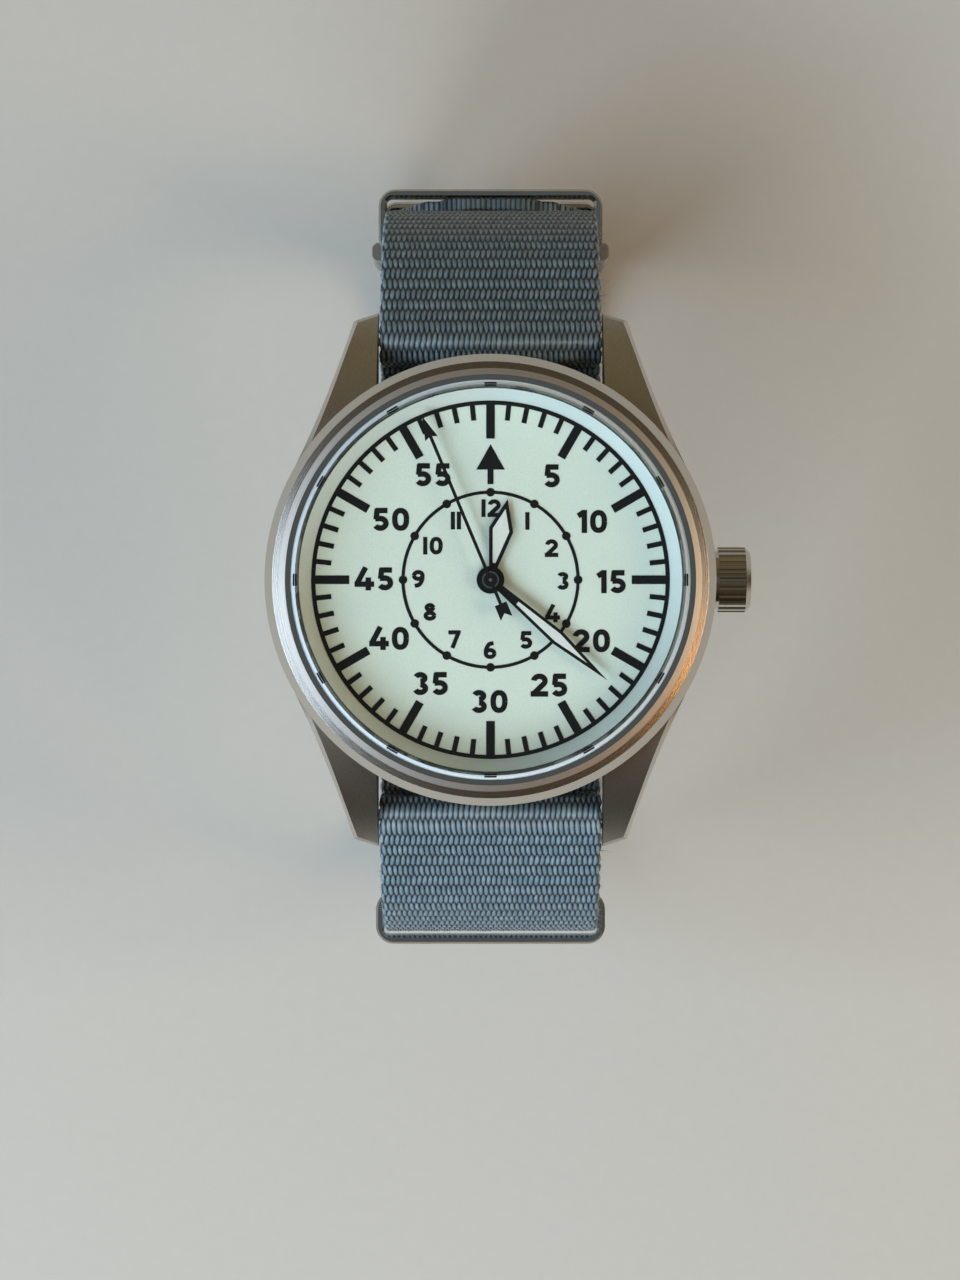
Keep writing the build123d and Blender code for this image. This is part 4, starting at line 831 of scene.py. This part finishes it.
def edge_dashes():
    """Twelve dashes that lie on the slope of the crystal's edge: arcs with a slanting section."""
    shapes = []
    for hour in range(12):
        angle = np.radians(hour * 30) + np.linspace(-DASH_ANGLE, DASH_ANGLE, 7)[:, None]
        spot = np.exp(1j * angle) * DASH_CORNERS[:, 0]
        level = np.broadcast_to(DASH_CORNERS[:, 1], spot.shape)
        points = np.stack([spot.real, spot.imag, level], axis=-1).reshape(-1, 3)
        shapes.append((points, outward(points, rod(len(angle)))))
    points, faces = joined_shapes(shapes)
    return points * MM, faces


# Metals

SOFT_EDGE = 0.02 * MM


def brushed(name, colour, direction, roughness=0.3, bevels=False):
    """Straight grain: noise stretched along one direction, in roughness and bump.

    Narrow faces that lean outward and up are left polished where bevels are asked for.
    """
    finish = new_finish(name)
    place = finish.place()
    stretch = {"x": (120, 9000, 9000), "y": (9000, 120, 9000)}[direction]
    grain = finish.noise(finish.scaled(place, *stretch), 1.0, 4.0, 0.7)
    cloud = finish.noise(place, 180.0, 2.0)
    matt = 1.0
    if bevels:
        normal_x, _, normal_z = finish.parts(finish.normal())
        matt = 1.0 - normal_x.size().clipped(0.3, 0.34) * normal_z.clipped(0.2, 0.24)
    shade = finish.mix(grain.clipped(0.25, 0.8) * matt, colour, toned(colour, 0.68))
    return finish.surface({
        "Base Color": shade, "Metallic": 1.0,
        "Roughness": 0.1 + (roughness - 0.1 + grain * 0.16 + cloud * 0.05) * matt,
        "Normal": finish.bump(grain * matt, 0.008 * MM, 0.7)})


def off_middle(x, y):
    """Distance from the upright line through the dial's middle."""
    return (x * x + y * y) ** 0.5


def turned(name, colour, low, high, roughness=0.3, step=None):
    """Lathe grain: rings of noise by radius, brushed between two radii and polished elsewhere.

    Inside the step, where there is one, the metal is rougher and paler, and outside it darker.
    The paler and the darker colour are painted reflection, where two slopes would mirror
    different light.
    """
    finish = new_finish(name)
    x, y, z = finish.parts(finish.place())
    radius, angle = off_middle(x, y), y.math("ARCTAN2", y, x)
    grain = finish.noise(
        finish.joined(radius * 9000.0, angle * 1.2, z * 3000.0), 1.0, 5.0, 0.75)
    band = radius.beyond(low * MM, SOFT_EDGE) * (1.0 - radius.beyond(high * MM, SOFT_EDGE))
    shade = finish.mix(grain.clipped(0.2, 0.85) * band, colour, toned(colour, 0.6))
    rough = 0.08 + band * (roughness - 0.08 + grain * 0.15)
    if step:
        # Painted reflection: the colour is paler inside the step and darker outside it.
        painted_pale_band = band * (1.0 - radius.beyond(step * MM, SOFT_EDGE))
        rough = rough + painted_pale_band * 0.2
        shade = finish.mix(painted_pale_band * 0.25, shade, toned(colour, 1.5))
        shade = finish.mix((band - painted_pale_band) * 0.5, shade, toned(colour, 0.5))
    return finish.surface({
        "Base Color": shade, "Metallic": 1.0, "Roughness": rough,
        "Normal": finish.bump(grain * band, 0.012 * MM, 0.8)})


def polished(name, colour, roughness=0.1):
    """Mirror metal with fine wear."""
    finish = new_finish(name)
    place = finish.place()
    wear = finish.noise(place, 900.0, 5.0, 0.65)
    scratch = finish.noise(finish.scaled(place, 7000, 900, 2500), 1.0, 3.0, 0.7)
    shade = finish.mix(wear.clipped(0.35, 0.8) * 0.4, colour, toned(colour, 0.86))
    return finish.surface({
        "Base Color": shade, "Metallic": 1.0,
        "Roughness": roughness + wear.clipped(0.4, 0.8) * 0.09,
        "Normal": finish.bump(scratch, 0.002 * MM, 0.35)})


def striped(name, colour):
    """Bridges with broad rounded stripes: a sine across the bridge bends the surface. The colour is
    darker in each stripe's trough: painted shade.
    """
    finish = new_finish(name)
    x, y, z = finish.parts(finish.place())
    wave = ((x + y) * 3100.0).sine()
    grain = finish.noise(finish.joined(x * 5000.0 + y * 5000.0, (x - y) * 300.0, z), 1.0, 3.0)
    # Painted shade: the colour is darker where the wave is low.
    shade = finish.mix(wave.clipped(-1.0, 1.0), toned(colour, 0.82), colour)
    return finish.surface({
        "Base Color": shade, "Metallic": 1.0, "Roughness": 0.24 + grain * 0.15,
        "Normal": finish.bump(wave + grain * 0.3, 0.01 * MM, 0.6)})


# Coats, rubber and stones

def lume(name, colour, grain_size, depth):
    """Luminous coat: fine grains, a little uneven in tone."""
    finish = new_finish(name)
    place = finish.place()
    grain = finish.noise(place, grain_size, 4.0, 0.7)
    cloud = finish.noise(place, 220.0, 3.0)
    shade = finish.mix(grain.clipped(0.3, 0.7), toned(colour, 0.86), colour)
    shade = finish.mix(cloud.clipped(0.35, 0.75) * 0.25, shade, srgb(196, 214, 208))
    return finish.surface({
        "Base Color": shade, "Roughness": 0.7 + grain * 0.2,
        "Normal": finish.bump(grain, depth * MM, 0.6)})


def ink(name, colour, pin=None):
    """Print and paint with a fine grain, round a bright metal pin where one is given.

    The pin is its metal's colour, its radius and the softness of its edge.
    """
    finish = new_finish(name)
    place = finish.place()
    grain = finish.noise(place, 4000.0, 3.0)
    shade = finish.mix(grain.clipped(0.3, 0.8), colour, toned(colour, 0.7))
    look = {"Base Color": shade, "Roughness": 0.5 + grain * 0.2, "Specular IOR Level": 0.25,
            "Normal": finish.bump(grain, 0.004 * MM, 0.4)}
    if pin:
        metal, radius, soft = pin
        x, y, _ = finish.parts(place)
        bright = 1.0 - off_middle(x, y).beyond(radius, soft)
        look["Base Color"] = finish.mix(bright, shade, metal)
        look["Metallic"] = bright
        look["Roughness"] = look["Roughness"] - bright * 0.34
    return finish.surface(look)


def rubber(name, colour):
    """Matt rubber with a coarse grain."""
    finish = new_finish(name)
    grain = finish.noise(finish.place(), 2600.0, 3.0)
    shade = finish.mix(grain, toned(colour, 0.8), colour)
    return finish.surface({
        "Base Color": shade, "Roughness": 0.6 + grain * 0.2,
        "Normal": finish.bump(grain, 0.01 * MM, 0.5)})


def ruby():
    """Polished red stone, a little cloudy."""
    finish = new_finish("ruby")
    grain = finish.noise(finish.place(), 1500.0, 2.0)
    shade = finish.mix(grain, srgb(150, 14, 44), srgb(196, 30, 70))
    return finish.surface({
        "Base Color": shade, "Roughness": 0.06 + grain * 0.06, "Coat Weight": 0.6})


def sapphire():
    """Clear crystal: it lets light through and mirrors more of it at a slant, by the fifth power.

    Its sloped edge, told by its normal, is ground and looks pale.
    """
    finish = new_finish("sapphire")
    smear = finish.noise(finish.place(), 90.0, 3.0)
    slant = finish.node("ShaderNodeLayerWeight", {}, {"Blend": 0.5}, "Facing")
    clear = finish.node("ShaderNodeBsdfTransparent", {}, {"Color": opaque(srgb(253, 254, 254))})
    mirror = finish.node("ShaderNodeBsdfGlossy", {}, {"Roughness": 0.01 + smear * 0.03})
    share = 0.02 + slant ** 5.0 * 0.5
    pane = finish.node("ShaderNodeMixShader", {}, {0: share, 1: clear, 2: mirror})
    _, _, normal_z = finish.parts(finish.normal())
    ground = finish.node("ShaderNodeBsdfPrincipled", {}, {
        "Base Color": opaque(srgb(226, 236, 240)), "Roughness": 0.2 + smear * 0.1})
    edge = (1.0 - normal_z.size().clipped(0.8, 0.9)) * 0.8
    return finish.ended(finish.node("ShaderNodeMixShader", {}, {0: edge, 1: pane, 2: ground}))


# Radii in millimetres between which the lathe's grain shows.

BACK_GRAIN = (2.0, 15.0)
BEZEL_GRAIN = (18.14, 19.3)
# Radius at which the bezel's painted reflection steps from paler inside to darker outside.
BEZEL_STEP = 18.7
WHEEL_GRAIN = (0.4, 9.0)

# Bright pin in the middle of the seconds hand: its radius and the softness of its edge.

PIN_RADIUS, PIN_SOFT = 0.14 * MM, 0.01 * MM


# Actions


def print_piece(name, shape, material):
    """Show points and faces as a flat-shaded piece of the print."""
    mesh = quad_mesh(name, *shape, smooth=False)
    return piece(name, mesh, material, "watch")


def nylon_piece(name, shape, cloth):
    """Show points, faces and their weave attribute as a piece of the strap."""
    points, faces, values = shape
    mesh = quad_mesh(name, points, faces, values=values)
    return piece(name, mesh, cloth, "watch")


def finish_case(scene):
    steel = tuple(scene.watch_metal.steel)
    dressed(["mid_case"], brushed("case_steel", steel, "y", 0.28, bevels=True))
    dressed(["buckle_frame"], brushed("buckle_steel", steel, "x", 0.28))
    dressed(["case_back"], turned("back_steel", steel, *BACK_GRAIN))
    dressed(["bezel"], turned("bezel_steel", steel, *BEZEL_GRAIN, 0.2, BEZEL_STEP))
    dressed(["flange_ring"], lume("flange_coat", srgb(220, 230, 222), 9000.0, 0.004))
    pins = [f"spring_bar_pin_{end}_{side}_side"
            for end in ("twelve", "six") for side in ("crown", "far")]
    dressed(["crown", "crown_tube", "spring_bars", "flap_ring", "keeper_ring_fixed",
             "keeper_ring_sliding", "buckle_bar", "buckle_tongue", *pins],
            polished("polished_steel", steel))
    dressed(["case_back_gasket", "crown_gasket"], rubber("black_rubber", srgb(32, 32, 34)))
    # The gasket's pale colour is raised towards white to make up for the shade under the crystal's
    # edge: its own colour and painted light.
    dressed(["crystal_gasket"], rubber("white_gasket_with_painted_light", srgb(232, 242, 246)))
    dressed(["crystal"], sapphire())
    print_piece("crystal_edge_marks", edge_dashes(), ink("edge_ink", tuple(scene.watch_dial.ink)))


def print_dial(scene):
    dial = scene.watch_dial
    dressed(["dial"], lume("dial_coat", tuple(dial.ground), 6000.0, 0.012))
    dressed(["hour_hand_lume", "minute_hand_lume"],
            lume("hand_coat", srgb(232, 236, 226), 7000.0, 0.01))
    black = ink("print_ink", tuple(dial.ink))
    dressed(["minute_track", "hour_circle"], black)
    print_piece("minute_numerals", printed(MINUTE_SIGNS, dial.minute_height / MM), black)
    print_piece("hour_numerals", printed(HOUR_SIGNS, dial.hour_height / MM), black)


def paint_hands(scene):
    black, steel = tuple(scene.watch_dial.ink), tuple(scene.watch_metal.steel)
    dressed(["hour_hand", "minute_hand"], ink("hand_black", black))
    dressed(["seconds_hand"], ink("seconds_black", black, (steel, PIN_RADIUS, PIN_SOFT)))


def finish_movement(scene):
    metal = scene.watch_metal
    steel, gilt = tuple(metal.steel), tuple(metal.gilt)
    dressed(["main_plate", "movement_ring"], brushed("plate_steel", steel, "x", 0.3))
    dressed(["barrel_bridge", "train_bridge", "balance_cock", "pallet_bridge", "rotor"],
            striped("striped_bridge", steel))
    dressed(["center_wheel", "third_wheel", "fourth_wheel", "balance_wheel", "minute_wheel",
             "hour_wheel", "barrel_drum"], turned("gilt_wheel", gilt, *WHEEL_GRAIN, 0.26))
    dressed(["bridge_screws", "cannon_pinion", "escape_wheel", "pallet_fork", "barrel_arbor",
             "ratchet_wheel", "crown_wheel", "rotor_axle", "rotor_balls", "winding_stem",
             "winding_pinion", "clutch_wheel"], polished("works_steel", steel, 0.14))
    dressed(["hairspring", "mainspring"], polished("spring_steel", srgb(120, 140, 190), 0.2))
    dressed(["jewels"], ruby())


def weave_strap(scene):
    settings = scene.watch_strap
    cloth = nylon(settings)
    turn = LONG.length() * SEAM_SHARE
    for name, route, start, stop, tail, cuts in (
            ("strap_main_upper", LONG, 0.0, turn, 0.0, CUTS),
            ("strap_main_lower", LONG, turn, LONG.length(), TAIL_RADIUS, CUTS),
            ("strap_flap_weave", SHORT, 0.0, SHORT.length(), 0.0, ())):
        webbing = nylon_piece(name, woven(route, start, stop, settings, tail, cuts), cloth)
        float(stop - start) * MM
    nylon_piece("strap_stitches", sewn(), cloth)
    for name, route, share, seed in (("strap_main_fibres", LONG, 0.7, 3),
                                     ("strap_flap_fibres", SHORT, 0.3, 5)):
        count = int(settings.fibres * share)
        fibres = frayed(route, FRAY_START, route.length() - FRAY_STOP, count, seed)
        nylon_piece(name, fibres, cloth)
    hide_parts("strap_main")
    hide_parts("strap_main")
    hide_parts("strap_flap")


# Stage. Lengths are in metres.

FLOOR_REACH = 2.0
FLOOR_FADE = (0.22, 0.6)
BACKGROUND = srgb(196, 193, 187)
CAMERA_HEIGHT = 0.3418
LENS, SENSOR = 90.25, 36.0
PICTURE_HEIGHT = 1280
PICTURE_SHIFT = (-10.5, -60.2)

# Each lamp's place, size, power as a share of the key light's, and colour. The low window lights
# the watch and isn't mirrored in it.

LAMPS = {
    "left_window": ((-0.46, -0.1, 0.44), 0.42, 1.1, srgb(214, 234, 255)),
    "right_box": ((0.5, -0.05, 0.42), 0.26, 0.5, srgb(255, 238, 214)),
    "low_window": ((-0.12, -0.42, 0.42), 0.26, 0.75, srgb(222, 240, 255)),
    "warm_spot": ((0.25, -0.1, 0.52), 0.05, 0.05, srgb(255, 176, 96)),
}
LAMP_AIM = Vector((0, 0, 0.05))
UNMIRRORED_LAMP = "low_window"


def floor_paper(colour):
    """Paper that fades away round the watch, so that low views show no horizon."""
    finish = new_finish("floor_paper")
    place = finish.place()
    grain = finish.noise(place, 700.0, 4.0)
    shade = finish.mix(grain.clipped(0.3, 0.8), toned(colour, 0.97), colour)
    paper = finish.node("ShaderNodeBsdfPrincipled", {}, {
        "Base Color": shade, "Roughness": 0.75 + grain * 0.1})
    x, y, _ = finish.parts(place)
    faded = off_middle(x, y).clipped(*FLOOR_FADE)
    clear = finish.node("ShaderNodeBsdfTransparent", {}, {})
    return finish.ended(finish.node("ShaderNodeMixShader", {}, {0: faded, 1: paper, 2: clear}))


def floor_sheet(scene):
    """One large quad under the watch."""
    points = np.array([(-1, -1, 0), (1, -1, 0), (1, 1, 0), (-1, 1, 0)]) * FLOOR_REACH
    mesh = quad_mesh("floor", points, np.array([[0, 1, 2, 3]]), smooth=False)
    mesh.materials.append(floor_paper(tuple(scene.watch_stage.floor)))
    floor = bpy.data.objects.new("floor", mesh)
    scene.collection.objects.link(floor)
    return floor


def lamps(scene):
    """Square lamps turned towards one point."""
    hung = []
    for name, (place, size, share, colour) in LAMPS.items():
        lamp = bpy.data.lights.new(name, "AREA")
        lamp.shape, lamp.size, lamp.color = "SQUARE", size, colour
        lamp.energy = scene.watch_stage.key * share
        thing = bpy.data.objects.new(name, lamp)
        thing.location = place
        thing.rotation_euler = (LAMP_AIM - Vector(place)).to_track_quat("-Z", "Y").to_euler()
        thing.visible_glossy = name != UNMIRRORED_LAMP
        scene.collection.objects.link(thing)
        hung.append(thing)
    return hung


def room_light(scene):
    """The light from all round, by its direction. The camera sees a plain pale background."""
    strength = scene.watch_stage.room
    scene.world = bpy.data.worlds.new("room")
    sky = Graph(scene.world)
    toward_x, toward_y, toward_z = sky.parts(sky.place("Generated"))
    ends = sky.mix(toward_y.clipped(-0.7, 0.7), srgb(54, 46, 34), srgb(124, 112, 80))
    sides = sky.mix((0.0 - toward_x).clipped(0.55, 0.95), ends, srgb(160, 168, 170))
    ceiling = sky.mix(toward_z.clipped(0.5, 0.9), sides, srgb(92, 80, 62))
    room = sky.mix(toward_z.clipped(0.965, 0.985), ceiling, srgb(96, 104, 108))
    camera_ray = sky.node("ShaderNodeLightPath", {}, {}, "Is Camera Ray")
    seen = sky.mix(camera_ray, room, tuple(part / strength for part in BACKGROUND))
    sky.ended(sky.node("ShaderNodeBackground", {}, {"Color": seen, "Strength": strength}),
              "ShaderNodeOutputWorld")


def overhead_camera(scene):
    """A long lens straight above the dial, shifted by the picture's own framing."""
    camera = bpy.data.objects.new("camera", bpy.data.cameras.new("camera"))
    camera.location = (0, 0, CAMERA_HEIGHT)
    camera.data.lens = LENS
    camera.data.sensor_width = SENSOR
    camera.data.shift_x, camera.data.shift_y = (part / PICTURE_HEIGHT for part in PICTURE_SHIFT)
    camera.data.clip_start = 0.01
    scene.collection.objects.link(camera)
    scene.camera = camera
    return camera


def set_stage(scene):
    extras = [floor_sheet(scene), *lamps(scene)]
    room_light(scene)
    camera = overhead_camera(scene)
    scene.view_settings.view_transform = "Standard"


class WATCH_OT_case(bpy.types.Operator):
    """Give the case, bezel, crown, crystal and buckle their finishes"""
    bl_idname = "watch.case"
    bl_label = "Case and metal"

    def execute(self, context):
        finish_case(context.scene)
        return {"FINISHED"}


class WATCH_OT_dial(bpy.types.Operator):
    """Coat the dial and print its numerals"""
    bl_idname = "watch.dial"
    bl_label = "Dial"

    def execute(self, context):
        print_dial(context.scene)
        return {"FINISHED"}


class WATCH_OT_hands(bpy.types.Operator):
    """Blacken the hands"""
    bl_idname = "watch.hands"
    bl_label = "Hands"

    def execute(self, context):
        paint_hands(context.scene)
        return {"FINISHED"}


class WATCH_OT_movement(bpy.types.Operator):
    """Finish the plates, wheels and springs of the movement"""
    bl_idname = "watch.movement"
    bl_label = "Movement"

    def execute(self, context):
        finish_movement(context.scene)
        return {"FINISHED"}


class WATCH_OT_strap(bpy.types.Operator):
    """Weave both lengths of the strap"""
    bl_idname = "watch.strap"
    bl_label = "Strap"

    def execute(self, context):
        weave_strap(context.scene)
        return {"FINISHED"}


class WATCH_OT_stage(bpy.types.Operator):
    """Lay the floor and set the lamps and the camera"""
    bl_idname = "watch.stage"
    bl_label = "Stage"

    def execute(self, context):
        set_stage(context.scene)
        return {"FINISHED"}


OPERATORS = (
    WATCH_OT_case, WATCH_OT_dial, WATCH_OT_hands, WATCH_OT_movement, WATCH_OT_strap, WATCH_OT_stage,
)


class WATCH_PT_panel(bpy.types.Panel):
    """Buttons for each group of pieces"""
    bl_idname = "WATCH_PT_panel"
    bl_label = "Pilot Watch"
    bl_space_type = "VIEW_3D"
    bl_region_type = "UI"
    bl_category = "Watch"

    def draw(self, context):
        for name, group in SETTINGS.items():
            column = self.layout.column()
            for prop in group.__annotations__:
                column.prop(getattr(context.scene, name), prop)
        for button in OPERATORS:
            self.layout.operator(button.bl_idname)


def register():
    for group in SETTINGS.values():
        bpy.utils.register_class(group)
    for name, group in SETTINGS.items():
        setattr(bpy.types.Scene, name, bpy.props.PointerProperty(type=group))
    for button in (*OPERATORS, WATCH_PT_panel):
        bpy.utils.register_class(button)


def unregister():
    for button in reversed((*OPERATORS, WATCH_PT_panel)):
        bpy.utils.unregister_class(button)
    for name in SETTINGS:
        delattr(bpy.types.Scene, name)
    for group in reversed(SETTINGS.values()):
        bpy.utils.unregister_class(group)


def main():
    register()
    for button in OPERATORS:
        getattr(bpy.ops.watch, button.bl_idname.split(".")[1])()


if __name__ == "__main__":
    main()
